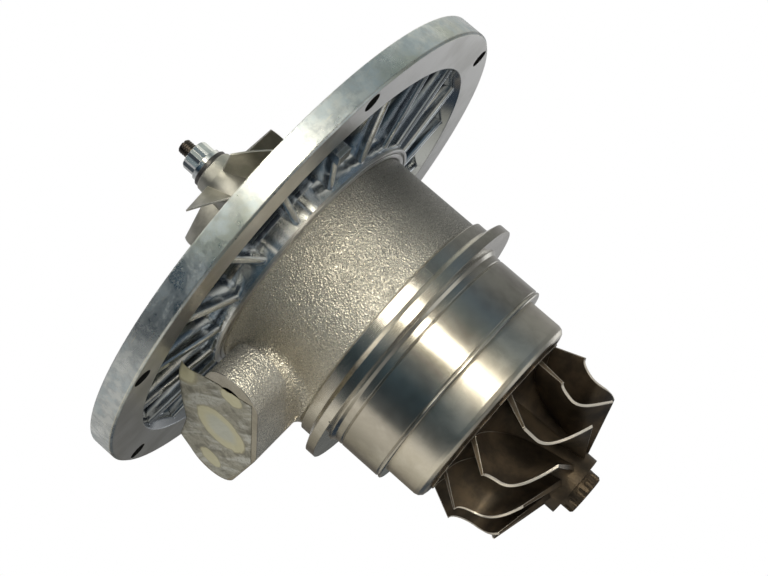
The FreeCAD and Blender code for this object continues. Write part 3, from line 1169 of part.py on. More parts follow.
# Every object is checked, then each piece is written to its own file
pieces = [
    plate, plateScrews, plateSeal, insert, insertSeal, lockRing, deflector, thrust, thrustPins, housing,
    frontBearing, rearBearing, snapRings, shield, tape, shaft, collar, sleeve, sleeveSeal, turbineSeal,
    turbineHub, turbineBlades, compressorHub, compressorBlades, washer, nut,
]
for item in doc.Objects:
    if "Invalid" in item.State or "Error" in item.State:
        raise RuntimeError(f"{item.Name} did not build: {item.State}")
os.makedirs("parts", exist_ok=True)
for piece in pieces:
    if piece.Shape.isNull() or not piece.Shape.isValid():
        raise RuntimeError(f"{piece.Label} has no valid shape")
    piece.Shape.exportStep(f"parts/{piece.Label}.step")
    print(piece.Label, len(piece.Shape.Solids), round(piece.Shape.Volume, 1), piece.Shape.BoundBox)
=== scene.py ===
import bpy
import bmesh
import math
from types import SimpleNamespace
from mathutils import Matrix, Vector, noise
from mathutils.geometry import delaunay_2d_cdt


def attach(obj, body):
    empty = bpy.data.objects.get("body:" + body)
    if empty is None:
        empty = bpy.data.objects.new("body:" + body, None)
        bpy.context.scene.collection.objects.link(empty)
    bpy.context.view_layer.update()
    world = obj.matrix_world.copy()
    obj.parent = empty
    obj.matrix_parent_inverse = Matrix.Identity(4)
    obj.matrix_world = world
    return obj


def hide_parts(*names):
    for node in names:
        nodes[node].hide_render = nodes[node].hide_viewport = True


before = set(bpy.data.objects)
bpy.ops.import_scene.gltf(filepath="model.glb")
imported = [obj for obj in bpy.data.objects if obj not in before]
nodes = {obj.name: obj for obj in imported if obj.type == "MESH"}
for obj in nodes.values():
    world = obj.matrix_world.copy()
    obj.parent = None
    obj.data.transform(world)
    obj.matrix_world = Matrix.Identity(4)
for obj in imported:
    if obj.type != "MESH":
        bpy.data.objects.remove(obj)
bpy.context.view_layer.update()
print("frame loaded:", len(nodes), "nodes")

mm = 0.001  # sizes and places are named in millimetres, apart from the camera's and the studio's


# Camera, found by fitting the photo's outlines

view = {
    "place": (0.1300, -0.5510, -0.2822),
    "right": (0.7481, -0.2148, 0.6278),
    "up": (-0.6488, -0.4352, 0.6243),
    "lens": 74.13,
    "sensor": 36,
    "nearest": 0.01,
}
cameraData = bpy.data.cameras.new("camera")
cameraData.lens = view["lens"]
cameraData.sensor_width = view["sensor"]
cameraData.clip_start = view["nearest"]
camera = bpy.data.objects.new("camera", cameraData)
bpy.context.collection.objects.link(camera)
right = Vector(view["right"]).normalized()
up = Vector(view["up"])
up = (up - up.dot(right) * right).normalized()
turn = Matrix((right, up, right.cross(up))).transposed()
camera.matrix_world = Matrix.Translation(view["place"]) @ turn.to_4x4()
bpy.context.scene.camera = camera


# Small helpers for objects


def pieceFrom(name, shape):
    mesh = bpy.data.meshes.new(name)
    shape.to_mesh(mesh)
    shape.free()
    made = bpy.data.objects.new(name, mesh)
    bpy.context.collection.objects.link(made)
    return made


def assign(piece, material):
    piece.data.materials.clear()
    piece.data.materials.append(material)


# Small helpers for shader trees: each adds what it needs and returns the output that carries the result


def addNode(tree, kind, **settings):
    made = tree.nodes.new(kind)
    for name, setting in settings.items():
        setattr(made, name, setting)
    return made


# what is given is a number, a colour, a direction or another node's output
def plug(tree, given, socket):
    if isinstance(given, (int, float)):
        socket.default_value = given
    elif isinstance(given, (tuple, list)):
        opaque = len(given) == 3 and len(socket.default_value) == 4
        socket.default_value = (*given, 1.0) if opaque else tuple(given)
    else:
        tree.links.new(given, socket)


def mathNode(tree, operation, *given, clamp=False):
    made = addNode(tree, "ShaderNodeMath", operation=operation, use_clamp=clamp)
    for socket, value in zip(made.inputs, given):
        plug(tree, value, socket)
    return made.outputs[0]


def combine(tree, operation, first, *others):
    result = first
    for other in others:
        result = mathNode(tree, operation, result, other)
    return result


def times(tree, *given):
    return combine(tree, "MULTIPLY", *given)


def plus(tree, *given):
    return combine(tree, "ADD", *given)


def larger(tree, *given):
    return combine(tree, "MAXIMUM", *given)


def minus(tree, first, second):
    return mathNode(tree, "SUBTRACT", first, second)


def opposite(tree, mask):  # 1 where the mask is 0, and 0 where it is 1
    return mathNode(tree, "SUBTRACT", 1.0, mask, clamp=True)


def span(tree, first, second):  # the distance that two coordinates make
    return mathNode(tree, "SQRT", plus(tree, times(tree, first, first), times(tree, second, second)))


# 0 below low, 1 above high and smooth between, or the other way round where low is above high
def fade(tree, given, low, high):
    made = addNode(tree, "ShaderNodeMapRange", interpolation_type="SMOOTHSTEP")
    tree.links.new(given, made.inputs["Value"])
    flip = low > high
    made.inputs["From Min"].default_value = min(low, high)
    made.inputs["From Max"].default_value = max(low, high)
    made.inputs["To Min"].default_value = 1.0 if flip else 0.0
    made.inputs["To Max"].default_value = 0.0 if flip else 1.0
    return made.outputs["Result"]


def fadeAt(tree, given, low, high):  # the same, with the places in millimetres
    return fade(tree, given, low * mm, high * mm)


def between(tree, given, low, high, soft=0.2):
    return times(tree, fadeAt(tree, given, low - soft, low), fadeAt(tree, given, high + soft, high))


def mixColour(tree, factor, first, second):
    made = addNode(tree, "ShaderNodeMix", data_type="RGBA")
    plug(tree, factor, made.inputs["Factor"])
    plug(tree, first, made.inputs[6])
    plug(tree, second, made.inputs[7])
    return made.outputs[2]


def mixValue(tree, factor, first, second):
    made = addNode(tree, "ShaderNodeMix", data_type="FLOAT")
    plug(tree, factor, made.inputs["Factor"])
    plug(tree, first, made.inputs[2])
    plug(tree, second, made.inputs[3])
    return made.outputs[0]


def vectorOf(tree, x, y, z):
    made = addNode(tree, "ShaderNodeCombineXYZ")
    for socket, given in zip(made.inputs, (x, y, z)):
        plug(tree, given, socket)
    return made.outputs[0]


def coordinates(tree, vector):
    made = addNode(tree, "ShaderNodeSeparateXYZ")
    tree.links.new(vector, made.inputs[0])
    return made.outputs


def dotProduct(tree, first, second):
    made = addNode(tree, "ShaderNodeVectorMath", operation="DOT_PRODUCT")
    plug(tree, first, made.inputs[0])
    plug(tree, second, made.inputs[1])
    return made.outputs["Value"]


def pointOf(tree):
    return addNode(tree, "ShaderNodeTexCoord").outputs["Object"]


def trueNormal(tree):
    return addNode(tree, "ShaderNodeNewGeometry").outputs["Normal"]


# noise from 0 to 1, with its scale in grains per metre
def grain(tree, vector, scale, detail=3.0, roughness=0.5, distortion=0.0):
    made = addNode(tree, "ShaderNodeTexNoise")
    plug(tree, vector, made.inputs["Vector"])
    made.inputs["Scale"].default_value = scale
    made.inputs["Detail"].default_value = detail
    made.inputs["Roughness"].default_value = roughness
    made.inputs["Distortion"].default_value = distortion
    return made.outputs["Fac"]


def cells(tree, vector, scale, smooth=None):
    made = addNode(tree, "ShaderNodeTexVoronoi", feature="SMOOTH_F1" if smooth else "F1")
    plug(tree, vector, made.inputs["Vector"])
    made.inputs["Scale"].default_value = scale
    if smooth:
        made.inputs["Smoothness"].default_value = smooth
    return made.outputs["Distance"]


def softEdges(tree, radius):
    made = addNode(tree, "ShaderNodeBevel", samples=4)
    made.inputs["Radius"].default_value = radius * mm
    return made.outputs["Normal"]


# 1 along sharp edges, where the rounded normal leaves the true one
def edgeWear(tree, radius):
    return fade(tree, dotProduct(tree, softEdges(tree, radius), trueNormal(tree)), 0.985, 0.90)


# edges rounded by a radius, or None, under layers that are each a height from 0 to 1, a depth and a strength
def bumps(tree, radius, *layers):
    normal = softEdges(tree, radius) if radius else None
    for height, depth, strength in layers:
        made = addNode(tree, "ShaderNodeBump")
        plug(tree, height, made.inputs["Height"])
        made.inputs["Distance"].default_value = depth * mm
        plug(tree, strength, made.inputs["Strength"])
        if normal is not None:
            tree.links.new(normal, made.inputs["Normal"])
        normal = made.outputs["Normal"]
    return normal


def newMaterial(name, shaderKind="ShaderNodeBsdfPrincipled"):
    made = bpy.data.materials.new(name)
    made.use_nodes = True
    tree = made.node_tree
    tree.nodes.clear()
    output = addNode(tree, "ShaderNodeOutputMaterial")
    shader = addNode(tree, shaderKind)
    tree.links.new(shader.outputs[0], output.inputs["Surface"])
    return made, tree, shader


def finishLook(tree, shader, colour, roughness, normal=None, metallic=1.0):
    plug(tree, colour, shader.inputs["Base Color"])
    plug(tree, roughness, shader.inputs["Roughness"])
    plug(tree, metallic, shader.inputs["Metallic"])
    if normal is not None:
        tree.links.new(normal, shader.inputs["Normal"])


# where a point of the surface lies: along the shaft, across and up, and its radius and angle round the shaft
def shaftFrame(tree):
    vector = pointOf(tree)
    along, across, height = coordinates(tree, vector)
    radius = span(tree, across, height)
    angle = mathNode(tree, "ARCTAN2", height, across)
    return SimpleNamespace(vector=vector, along=along, across=across, height=height,
                           radius=radius, angle=angle)


# fine lines that run round the shaft, as a turning tool leaves them, where place is along it or the radius
def lathe(tree, place, angle, fineness, detail=4.0):
    sine = mathNode(tree, "SINE", angle)
    cosine = mathNode(tree, "COSINE", angle)
    return grain(tree, vectorOf(tree, times(tree, place, fineness), sine, cosine), 1.0, detail, 0.6)


# Back plate: satin rim, mottled ring face, bright rippled pocket with painted shade in its troughs

plateLook = {
    "rim": (0.90, 0.93, 0.93),
    "rimDull": (0.66, 0.70, 0.72),
    "rimStain": (0.62, 0.66, 0.60),
    "rimBlue": (0.70, 0.80, 0.87),
    "face": (0.86, 0.85, 0.84),
    "faceDull": (0.64, 0.63, 0.61),
    "pocket": (0.86, 0.90, 0.95),
    "pocketDirt": (0.20, 0.19, 0.17),
    # painted shade: the dark colour of the pocket's floor between the ribs and of its outer wall
    "troughShade": (0.13, 0.15, 0.17),
    # bright metal of scratches and worn rim edges, and along the edges partly a painted highlight
    "edge": (1.0, 0.97, 0.88),
    # painted shade on the walls of the screw holes
    "hole": (0.07, 0.07, 0.072),
    # radii between which each zone fades in
    "rimFrom": (108.8, 109.4),
    "ringFrom": (92.9, 93.3),
    "lipWithin": (58.0, 57.2),
    "wallShadeFrom": (80.0, 90.0),
    "wavesWithin": (89.0, 84.0),
    "wearFrom": (107.5, 108.5),
    "holes": (98.5, 108.5),
    # places along the shaft between which each zone fades in
    "frontFace": (2.0, 1.0),
    "ringFace": (9.9, 10.3),
    "lipFace": (12.6, 13.0),
    "troughShadeFrom": (6.2, 4.0),
}


def plateMaterial():
    made, tree, shader = newMaterial("plate_aluminium")
    at = shaftFrame(tree)
    look = plateLook
    facing = mathNode(tree, "ABSOLUTE", coordinates(tree, trueNormal(tree))["X"])
    flat = fade(tree, facing, 0.90, 0.98)

    # a mask for each machined surface, and the pocket is all the rest
    rim = fadeAt(tree, at.radius, *look["rimFrom"])
    ring = times(tree, fadeAt(tree, at.radius, *look["ringFrom"]), fadeAt(tree, at.along, *look["ringFace"]))
    front = fadeAt(tree, at.along, *look["frontFace"])
    lip = times(tree, fadeAt(tree, at.along, *look["lipFace"]), fadeAt(tree, at.radius, *look["lipWithin"]))
    machined = larger(tree, rim, ring, front, lip)
    pocket = opposite(tree, machined)
    holeWall = times(tree, between(tree, at.radius, *look["holes"]), fade(tree, facing, 0.5, 0.2))

    mottle = grain(tree, at.vector, 230.0, 5.0, 0.62)
    stain = grain(tree, at.vector, 26.0, 3.0, 0.55)
    smudge = grain(tree, at.vector, 34.0, 4.0, 0.55)
    blotch = grain(tree, at.vector, 95.0, 4.0, 0.6)
    speck = fade(tree, grain(tree, at.vector, 1100.0, 3.0, 0.6), 0.50, 0.64)
    dents = fade(tree, grain(tree, at.vector, 620.0, 2.0, 0.5), 0.60, 0.70)
    brushed = lathe(tree, at.along, at.angle, 1500.0)
    circles = lathe(tree, at.radius, at.angle, 2600.0, detail=3.0)
    roundRim = vectorOf(tree, times(tree, at.along, 900.0), times(tree, at.angle, 14.0), 0.0)
    scratches = fade(tree, grain(tree, roundRim, 1.0, 5.0, 0.7, 1.5), 0.60, 0.70)

    rimColour = mixColour(tree, fade(tree, mottle, 0.38, 0.60), look["rimDull"], look["rim"])
    rimColour = mixColour(tree, fade(tree, stain, 0.50, 0.70), rimColour, look["rimStain"])
    rimColour = mixColour(tree, times(tree, fade(tree, blotch, 0.46, 0.66), 0.6), rimColour, look["rimBlue"])
    faceColour = mixColour(tree, fade(tree, smudge, 0.35, 0.62), look["faceDull"], look["face"])
    dirt = times(tree, fade(tree, mottle, 0.46, 0.30), 0.2)
    pocketColour = mixColour(tree, dirt, look["pocket"], look["pocketDirt"])
    # painted shade: the pocket darkens down towards its floor and, at half strength, on its outer wall
    wall = times(tree, fadeAt(tree, at.radius, *look["wallShadeFrom"]), 0.5)
    troughShade = larger(tree, fadeAt(tree, at.along, *look["troughShadeFrom"]), wall)
    pocketColour = mixColour(tree, troughShade, pocketColour, look["troughShade"])
    colour = mixColour(tree, rim, mixColour(tree, pocket, faceColour, pocketColour), rimColour)
    colour = mixColour(tree, times(tree, scratches, rim, 0.7), colour, look["edge"])
    # the rim's sharp edges are painted bright: partly wear, partly a painted highlight along them
    wear = times(tree, edgeWear(tree, 0.5), fadeAt(tree, at.radius, *look["wearFrom"]))
    colour = mixColour(tree, wear, colour, look["edge"])
    # painted shade: the walls of the screw holes are painted dark
    colour = mixColour(tree, holeWall, colour, look["hole"])

    rimRough = mixValue(tree, fade(tree, blotch, 0.36, 0.66), 0.26, 0.40)
    rimRough = plus(tree, rimRough, times(tree, speck, 0.10))
    rough = mixValue(tree, pocket, mixValue(tree, smudge, 0.26, 0.38), mixValue(tree, mottle, 0.09, 0.18))
    rough = mixValue(tree, holeWall, mixValue(tree, rim, rough, rimRough), 0.6)

    # the cast waves follow the ribs outwards
    sine = times(tree, mathNode(tree, "SINE", at.angle), 9.0)
    cosine = times(tree, mathNode(tree, "COSINE", at.angle), 9.0)
    ripple = grain(tree, vectorOf(tree, sine, cosine, times(tree, at.radius, 45.0)), 1.0, 1.5, 0.45, 0.5)
    waves = plus(tree, ripple, times(tree, cells(tree, at.vector, 70.0, smooth=0.8), 0.25))
    normal = bumps(tree, 0.7,
                   (waves, 0.7, times(tree, pocket, fadeAt(tree, at.radius, *look["wavesWithin"]))),
                   (mottle, 0.08, 0.5),
                   (brushed, 0.02, times(tree, rim, 0.6)),
                   (circles, 0.02, times(tree, larger(tree, ring, front), 0.6)),
                   (dents, 0.05, times(tree, machined, flat, 0.5)))
    finishLook(tree, shader, colour, rough, normal)
    return made


# Bearing housing: cast body and bosses, turned band, flange and pilot

housingLook = {
    "cast": (0.97, 0.92, 0.80),
    "castDark": (0.69, 0.65, 0.56),
    "castTopShade": (0.17, 0.168, 0.16),
    "glintPainted": (1.0, 0.95, 0.84),
    "turned": (0.74, 0.71, 0.65),
    "turnedDull": (0.52, 0.49, 0.44),
    "pitShade": (0.02, 0.018, 0.016),
    "bore": (0.012, 0.011, 0.010),
    "castMetal": 0.86,
    # places along the shaft, radii and heights between which each zone fades in
    "turnedFrom": (54.6, 55.0),
    "turnedWithin": (59.2, 58.8),
    "inletFrom": (50.0, 50.3),
    "inletBelow": (50.7, 50.5),
    "inletWithin": (12.8, 12.4),
    "topShadeFrom": (-13.0, 26.0),
    "band": (55.6, 60.2),
    "bandRadius": 53.0,
    "knurlPitch": 0.55,
}

# heights are from the shaft, and the flare is how much wider the neck gets on its far side, between two
# sines of the angle round it
drainShape = {
    "centre": 36.6,
    "face": -79.2,
    "portRadius": 12.0,
    "holes": 30.5,
    "holeRadius": 5.0,
    "flangeTop": -63.7,
    "neck": 16.3,
    "flare": 34.0,
    "flareFrom": (0.05, 0.50),
    "fillet": 5.0,
    "body": 51.2,
    "bodyGap": 0.03,
    "cutFrom": (12.6, -50.4, -63.7),
    "cutTo": (54.9, 50.4, -8.0),
    "sharpAngle": 28,
}


# the distance from a spot on the drain's face, which is given from the port's centre
def fromSpot(tree, at, x, y):
    return span(tree, minus(tree, at.along, (drainShape["centre"] + x) * mm), minus(tree, at.across, y * mm))


def housingMaterial():
    made, tree, shader = newMaterial("housing_iron")
    at = shaftFrame(tree)
    look = housingLook

    # the turned rear and the two milled faces, and all the rest is as cast
    rear = times(tree, fadeAt(tree, at.along, *look["turnedFrom"]),
                 fadeAt(tree, at.radius, *look["turnedWithin"]))
    drainFace = fadeAt(tree, at.height, drainShape["face"] + 0.4, drainShape["face"] + 0.1)
    inletFace = times(tree, fadeAt(tree, at.height, *look["inletFrom"]),
                      fadeAt(tree, mathNode(tree, "ABSOLUTE", at.across), *look["inletWithin"]),
                      fadeAt(tree, at.height, *look["inletBelow"]))
    turned = larger(tree, rear, drainFace, inletFace)
    cast = opposite(tree, turned)
    band = between(tree, at.along, *look["band"])

    lumps = cells(tree, at.vector, 1450.0, smooth=0.5)
    large = grain(tree, at.vector, 800.0, 3.0, 0.6)
    fine = grain(tree, at.vector, 2600.0, 3.0, 0.65)
    stains = grain(tree, at.vector, 38.0, 4.0, 0.6)
    lines = lathe(tree, at.along, at.angle, 3400.0)
    turns = times(tree, at.angle, look["bandRadius"] / look["knurlPitch"] * 2 * math.pi)
    knurl = times(tree, plus(tree, mathNode(tree, "SINE", turns), 1.0), 0.5)
    pits = times(tree, fade(tree, cells(tree, at.vector, 115.0), 0.080, 0.055),
                 fade(tree, grain(tree, at.vector, 60.0, 2.0), 0.47, 0.53))

    castColour = mixColour(tree, fade(tree, stains, 0.35, 0.70), look["castDark"], look["cast"])
    castColour = mixColour(tree, fade(tree, large, 0.40, 0.54), look["castDark"], castColour)
    # painted glints: bright specks in the cast colour that stand in for sparkle of light
    castColour = mixColour(tree, fade(tree, fine, 0.54, 0.62), castColour, look["glintPainted"])
    # painted shade: the cast is painted darker over the top of the housing
    top = times(tree, fadeAt(tree, at.height, *look["topShadeFrom"]), 0.85)
    castColour = mixColour(tree, top, castColour, look["castTopShade"])
    turnedColour = mixColour(tree, fade(tree, stains, 0.35, 0.65), look["turnedDull"], look["turned"])
    # pits painted near black: painted shade inside the pores
    turnedColour = mixColour(tree, pits, turnedColour, look["pitShade"])
    colour = mixColour(tree, turned, castColour, turnedColour)
    for side in (-1, 1):  # painted shade: the screw holes in the drain's flange are painted black inside
        away = fromSpot(tree, at, 0.0, side * drainShape["holes"])
        within = fadeAt(tree, away, drainShape["holeRadius"] + 0.15, drainShape["holeRadius"] + 0.05)
        below = fadeAt(tree, at.height, drainShape["flangeTop"] - 0.3, drainShape["flangeTop"] - 0.8)
        colour = mixColour(tree, times(tree, within, below), colour, look["bore"])

    rough = mixValue(tree, turned, mixValue(tree, fine, 0.20, 0.36), mixValue(tree, stains, 0.14, 0.22))
    normal = bumps(tree, 0.5,
                   (plus(tree, lumps, times(tree, large, 0.8)), 0.34, cast),
                   (fine, 0.06, cast),
                   (fine, 0.012, turned),
                   (lines, 0.012, times(tree, turned, 0.8)),
                   (knurl, 0.02, band),
                   (opposite(tree, pits), 0.3, turned))
    finishLook(tree, shader, colour, rough, normal, mixValue(tree, turned, look["castMetal"], 1.0))
    return made


# Heat shield: smudged satin steel, with painted shade in the hollow behind the turbine wheel

shieldLook = {
    "light": (0.93, 0.88, 0.79),
    "dull": (0.76, 0.71, 0.62),
    "recess": (0.12, 0.10, 0.085),
    "recessWithin": (40.5, 37.5),
    "recessFrom": (98.0, 101.0),
}


def shieldMaterial():
    made, tree, shader = newMaterial("shield_steel")
    at = shaftFrame(tree)
    look = shieldLook
    smudge = grain(tree, at.vector, 75.0, 6.0, 0.66, 0.4)
    sand = grain(tree, at.vector, 1500.0, 3.0, 0.6)
    lines = lathe(tree, at.along, at.angle, 1800.0)
    recess = times(tree, fadeAt(tree, at.radius, *look["recessWithin"]),
                   fadeAt(tree, at.along, *look["recessFrom"]))
    colour = mixColour(tree, fade(tree, smudge, 0.32, 0.66), look["dull"], look["light"])
    # painted shade: the hollow behind the turbine wheel is painted dark
    colour = mixColour(tree, recess, colour, look["recess"])
    rough = mixValue(tree, fade(tree, smudge, 0.36, 0.64), 0.28, 0.33)
    finishLook(tree, shader, colour, rough, bumps(tree, 0.8, (sand, 0.02, 0.8), (lines, 0.04, 0.6)))
    return made


# Turbine wheel: dark brown casting with ground edges

turbineLook = {
    "cast": (0.120, 0.088, 0.055),
    "dark": (0.056, 0.043, 0.030),
    "ground": (0.80, 0.74, 0.64),
    "metal": 0.70,
    # the tips are ground to a quarter ellipse: where it starts, its radius there, its length and its fall
    "inlet": 121.0,
    "inletRadius": 41.8,
    "shroudLength": 18.4,
    "shroudFall": 5.5,
    "tipUnder": (0.5, 0.2),
    "tipFrom": (120.5, 121.5),
    "wearFrom": (20.0, 28.0),
}


def turbineMaterial():
    made, tree, shader = newMaterial("turbine_alloy")
    at = shaftFrame(tree)
    look = turbineLook
    stains = grain(tree, at.vector, 90.0, 4.0, 0.6)
    fine = grain(tree, at.vector, 1300.0, 3.0, 0.6)
    reach = mathNode(tree, "DIVIDE", minus(tree, at.along, look["inlet"] * mm), look["shroudLength"] * mm)
    rest = minus(tree, 1.0, reach)
    arc = mathNode(tree, "SQRT", larger(tree, 0.0, minus(tree, 1.0, times(tree, rest, rest))))
    shroud = minus(tree, look["inletRadius"] * mm, times(tree, arc, look["shroudFall"] * mm))
    tip = fadeAt(tree, minus(tree, shroud, at.radius), *look["tipUnder"])
    tip = times(tree, tip, fadeAt(tree, at.along, *look["tipFrom"]))
    wear = times(tree, edgeWear(tree, 0.5), fadeAt(tree, at.radius, *look["wearFrom"]))
    ground = larger(tree, tip, times(tree, wear, 0.75))
    colour = mixColour(tree, fade(tree, stains, 0.35, 0.65), look["dark"], look["cast"])
    colour = mixColour(tree, ground, colour, look["ground"])
    rough = mixValue(tree, ground, mixValue(tree, stains, 0.36, 0.44), 0.30)
    normal = bumps(tree, 0.4, (fine, 0.05, 0.8), (stains, 0.1, 0.5))
    finishLook(tree, shader, colour, rough, normal, look["metal"])
    return made


# Plain turned metals, and the rubber of the seals


def metalMaterial(name, light, dull, rough, lineDepth=0.03, fineness=2600.0, wornEdge=None):
    made, tree, shader = newMaterial(name)
    at = shaftFrame(tree)
    smudge = grain(tree, at.vector, 120.0, 4.0, 0.6)
    lines = lathe(tree, at.along, at.angle, fineness)
    colour = mixColour(tree, fade(tree, smudge, 0.35, 0.65), dull, light)
    if wornEdge:
        colour = mixColour(tree, edgeWear(tree, 0.4), colour, wornEdge)
    rough = mixValue(tree, smudge, rough * 0.8, rough * 1.25)
    finishLook(tree, shader, colour, rough, bumps(tree, 0.3, (lines, lineDepth, 0.7)))
    return made


def rubberMaterial():
    made, tree, shader = newMaterial("seal_rubber")
    dust = grain(tree, pointOf(tree), 700.0)
    colour = mixColour(tree, dust, (0.012, 0.012, 0.012), (0.03, 0.03, 0.03))
    normal = bumps(tree, None, (dust, 0.05, 1.0))
    finishLook(tree, shader, colour, mixValue(tree, dust, 0.5, 0.7), normal, 0.0)
    return made


rubber = rubberMaterial()
springSteel = metalMaterial("spring_steel", (0.42, 0.42, 0.43), (0.30, 0.30, 0.31), 0.32)
pressedSteel = metalMaterial("pressed_steel", (0.56, 0.56, 0.57), (0.42, 0.42, 0.43), 0.34)
bronze = metalMaterial("bearing_bronze", (0.72, 0.50, 0.24), (0.55, 0.37, 0.17), 0.30)
ringIron = metalMaterial("ring_iron", (0.32, 0.32, 0.32), (0.22, 0.22, 0.22), 0.36)
shaftSteel = metalMaterial("shaft_steel", (0.15, 0.125, 0.10), (0.05, 0.042, 0.038), 0.28)
wheelAluminium = metalMaterial("wheel_aluminium", (0.55, 0.535, 0.485), (0.40, 0.39, 0.35), 0.42, 0.01,
                               1500.0, wornEdge=(0.92, 0.91, 0.88))
looks = {
    "back_plate": plateMaterial(),
    "bearing_housing": housingMaterial(),
    "heat_shield": shieldMaterial(),
    "plate_screws": metalMaterial("screw_steel", (0.20, 0.20, 0.21), (0.12, 0.12, 0.13), 0.38),
    "plate_seal": rubber,
    "insert_seal": rubber,
    "seal_insert": metalMaterial("insert_aluminium", (0.70, 0.70, 0.70), (0.58, 0.58, 0.58), 0.30),
    "insert_lock_ring": springSteel,
    "thrust_pins": springSteel,
    "bearing_snap_rings": springSteel,
    "oil_deflector": pressedSteel,
    "thrust_collar": pressedSteel,
    "oil_sleeve": pressedSteel,
    "thrust_bearing": bronze,
    "front_floating_bearing": bronze,
    "rear_floating_bearing": bronze,
    "sleeve_seal_ring": ringIron,
    "turbine_seal_ring": ringIron,
    "rotor_shaft": shaftSteel,
    "nut_washer": metalMaterial("dark_steel", (0.16, 0.15, 0.15), (0.07, 0.07, 0.07), 0.36),
    "shaft_nut": metalMaterial("nut_steel", (0.90, 0.91, 0.90), (0.72, 0.73, 0.73), 0.13, 0.003,
                               wornEdge=(0.97, 0.97, 0.95)),
}
turbineAlloy = turbineMaterial()
for name in nodes:
    if name.startswith("turbine_") and name not in looks:
        looks[name] = turbineAlloy
    if name.startswith("compressor_"):
        looks[name] = wheelAluminium
for name, look in looks.items():
    if name in nodes:
        assign(bpy.data.objects[name], look)
print("node materials:", len(looks))


# The housing's drain: the model's full-height boss is cut to a round neck with an eared flange


def solidFrom(name, points, faces):
    made = bpy.data.meshes.new(name)
    made.from_pydata([[value * mm for value in point] for point in points], [], faces)
    shape = bmesh.new()
    shape.from_mesh(made)
    bmesh.ops.recalc_face_normals(shape, faces=shape.faces)
    shape.to_mesh(made)
    shape.free()
    return bpy.data.objects.new(name, made)


# the neck's wall at one angle round it and the fillet that leads it into the body, as distances from the
# port's axis and heights, from below the flange's top to inside the body
def neckRow(sine):
    fillet, body = drainShape["fillet"], drainShape["body"]
    start, end = drainShape["flareFrom"]
    # on the far side the boss stays at its full width
    share = min(1.0, max(0.0, (sine - start) / (end - start)))
    neck = drainShape["neck"] + drainShape["flare"] * share * share * (3 - 2 * share)
    middle = neck + fillet

    def ball(place):  # the height of the fillet's centre where it touches the body, that spot and its height
        reach = middle + fillet * place / 100
        surface = -math.sqrt(max(0.0, body * body - (reach * sine) ** 2))
        return surface - math.sqrt(fillet * fillet - (reach - middle) ** 2), reach, surface

    level, touch, surface = min(ball(place) for place in range(-99, 100))
    stop = math.atan2(surface - level, touch - middle)
    row = [(neck, drainShape["flangeTop"] - 1.0)]
    curveSteps = 8
    for part in range(curveSteps + 1):
        bend = math.pi + (stop - math.pi) * part / curveSteps
        row.append((middle + fillet * math.cos(bend), level + fillet * math.sin(bend)))
    row.append((touch, surface + 4.0))
    return row


def neckSolid():
    steps = 96
    angles = [2 * math.pi * step / steps for step in range(steps)]
    rows = [neckRow(math.sin(angle)) for angle in angles]
    points = []
    for angle, row in zip(angles, rows):
        for reach, rise in row:
            points.append((drainShape["centre"] + reach * math.cos(angle), reach * math.sin(angle), rise))
    size = len(rows[0])
    faces = []
    for step in range(steps):
        first, second = step * size, (step + 1) % steps * size
        for level in range(size - 1):
            faces.append((first + level, second + level, second + level + 1, first + level + 1))
    faces.append([step * size for step in range(steps)])
    faces.append([step * size + size - 1 for step in range(steps)])
    return solidFrom("neck", points, faces)


def boxSolid(low, high):
    points = [(x, y, z) for x in (low[0], high[0]) for y in (low[1], high[1]) for z in (low[2], high[2])]
    faces = [(0, 1, 3, 2), (4, 6, 7, 5), (0, 4, 5, 1), (2, 3, 7, 6), (0, 2, 6, 4), (1, 5, 7, 3)]
    return solidFrom("block", points, faces)


def roundSolid(radius, start, end, steps=256):
    points = []
    for place in (start, end):
        for step in range(steps):
            angle = 2 * math.pi * (step + 0.5) / steps
            points.append((place, radius * math.cos(angle), radius * math.sin(angle)))
    faces = [(step, (step + 1) % steps, steps + (step + 1) % steps, steps + step) for step in range(steps)]
    faces += [list(range(steps)), list(range(steps, 2 * steps))]
    return solidFrom("body", points, faces)


def cutAway(target, tool):
    bpy.context.collection.objects.link(tool)
    cut = target.modifiers.new("cut", "BOOLEAN")
    cut.operation = "DIFFERENCE"
    cut.solver = "EXACT"
    cut.object = tool
    bpy.context.view_layer.update()
    result = bpy.data.meshes.new_from_object(target.evaluated_get(bpy.context.evaluated_depsgraph_get()))
    target.modifiers.remove(cut)
    target.data = result
    bpy.data.objects.remove(tool)


# what stands round the neck: a block less the body and less the neck
def drainCutter():
    low, high = drainShape["cutFrom"], drainShape["cutTo"]
    cutter = boxSolid(low, high)
    bpy.context.collection.objects.link(cutter)
    cutAway(cutter, roundSolid(drainShape["body"] + drainShape["bodyGap"], low[0] - 2, high[0] + 2))
    cutAway(cutter, neckSolid())
    bpy.context.collection.objects.unlink(cutter)
    return cutter


def housingPiece():
    shape = bmesh.new()
    shape.from_mesh(bpy.data.objects["bearing_housing"].data)
    for edge in shape.edges:
        edge.smooth = not edge.is_boundary  # the model's faces keep their own shading
    bmesh.ops.remove_doubles(shape, verts=shape.verts, dist=1e-6)
    piece = pieceFrom("housing_casting", shape)
    cutAway(piece, drainCutter())
    shape = bmesh.new()
    shape.from_mesh(piece.data)
    for edge in shape.edges:
        if edge.is_manifold and edge.calc_face_angle() > math.radians(drainShape["sharpAngle"]):
            edge.smooth = False
    for face in shape.faces:
        face.smooth = True
    shape.to_mesh(piece.data)
    shape.free()
    assign(piece, looks["bearing_housing"])
    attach(piece, "cartridge")
    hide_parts("bearing_housing")
    return piece


casting = housingPiece()
print("housing made:", len(casting.data.polygons), "faces")


# Masking tape over the drain port and its screw holes

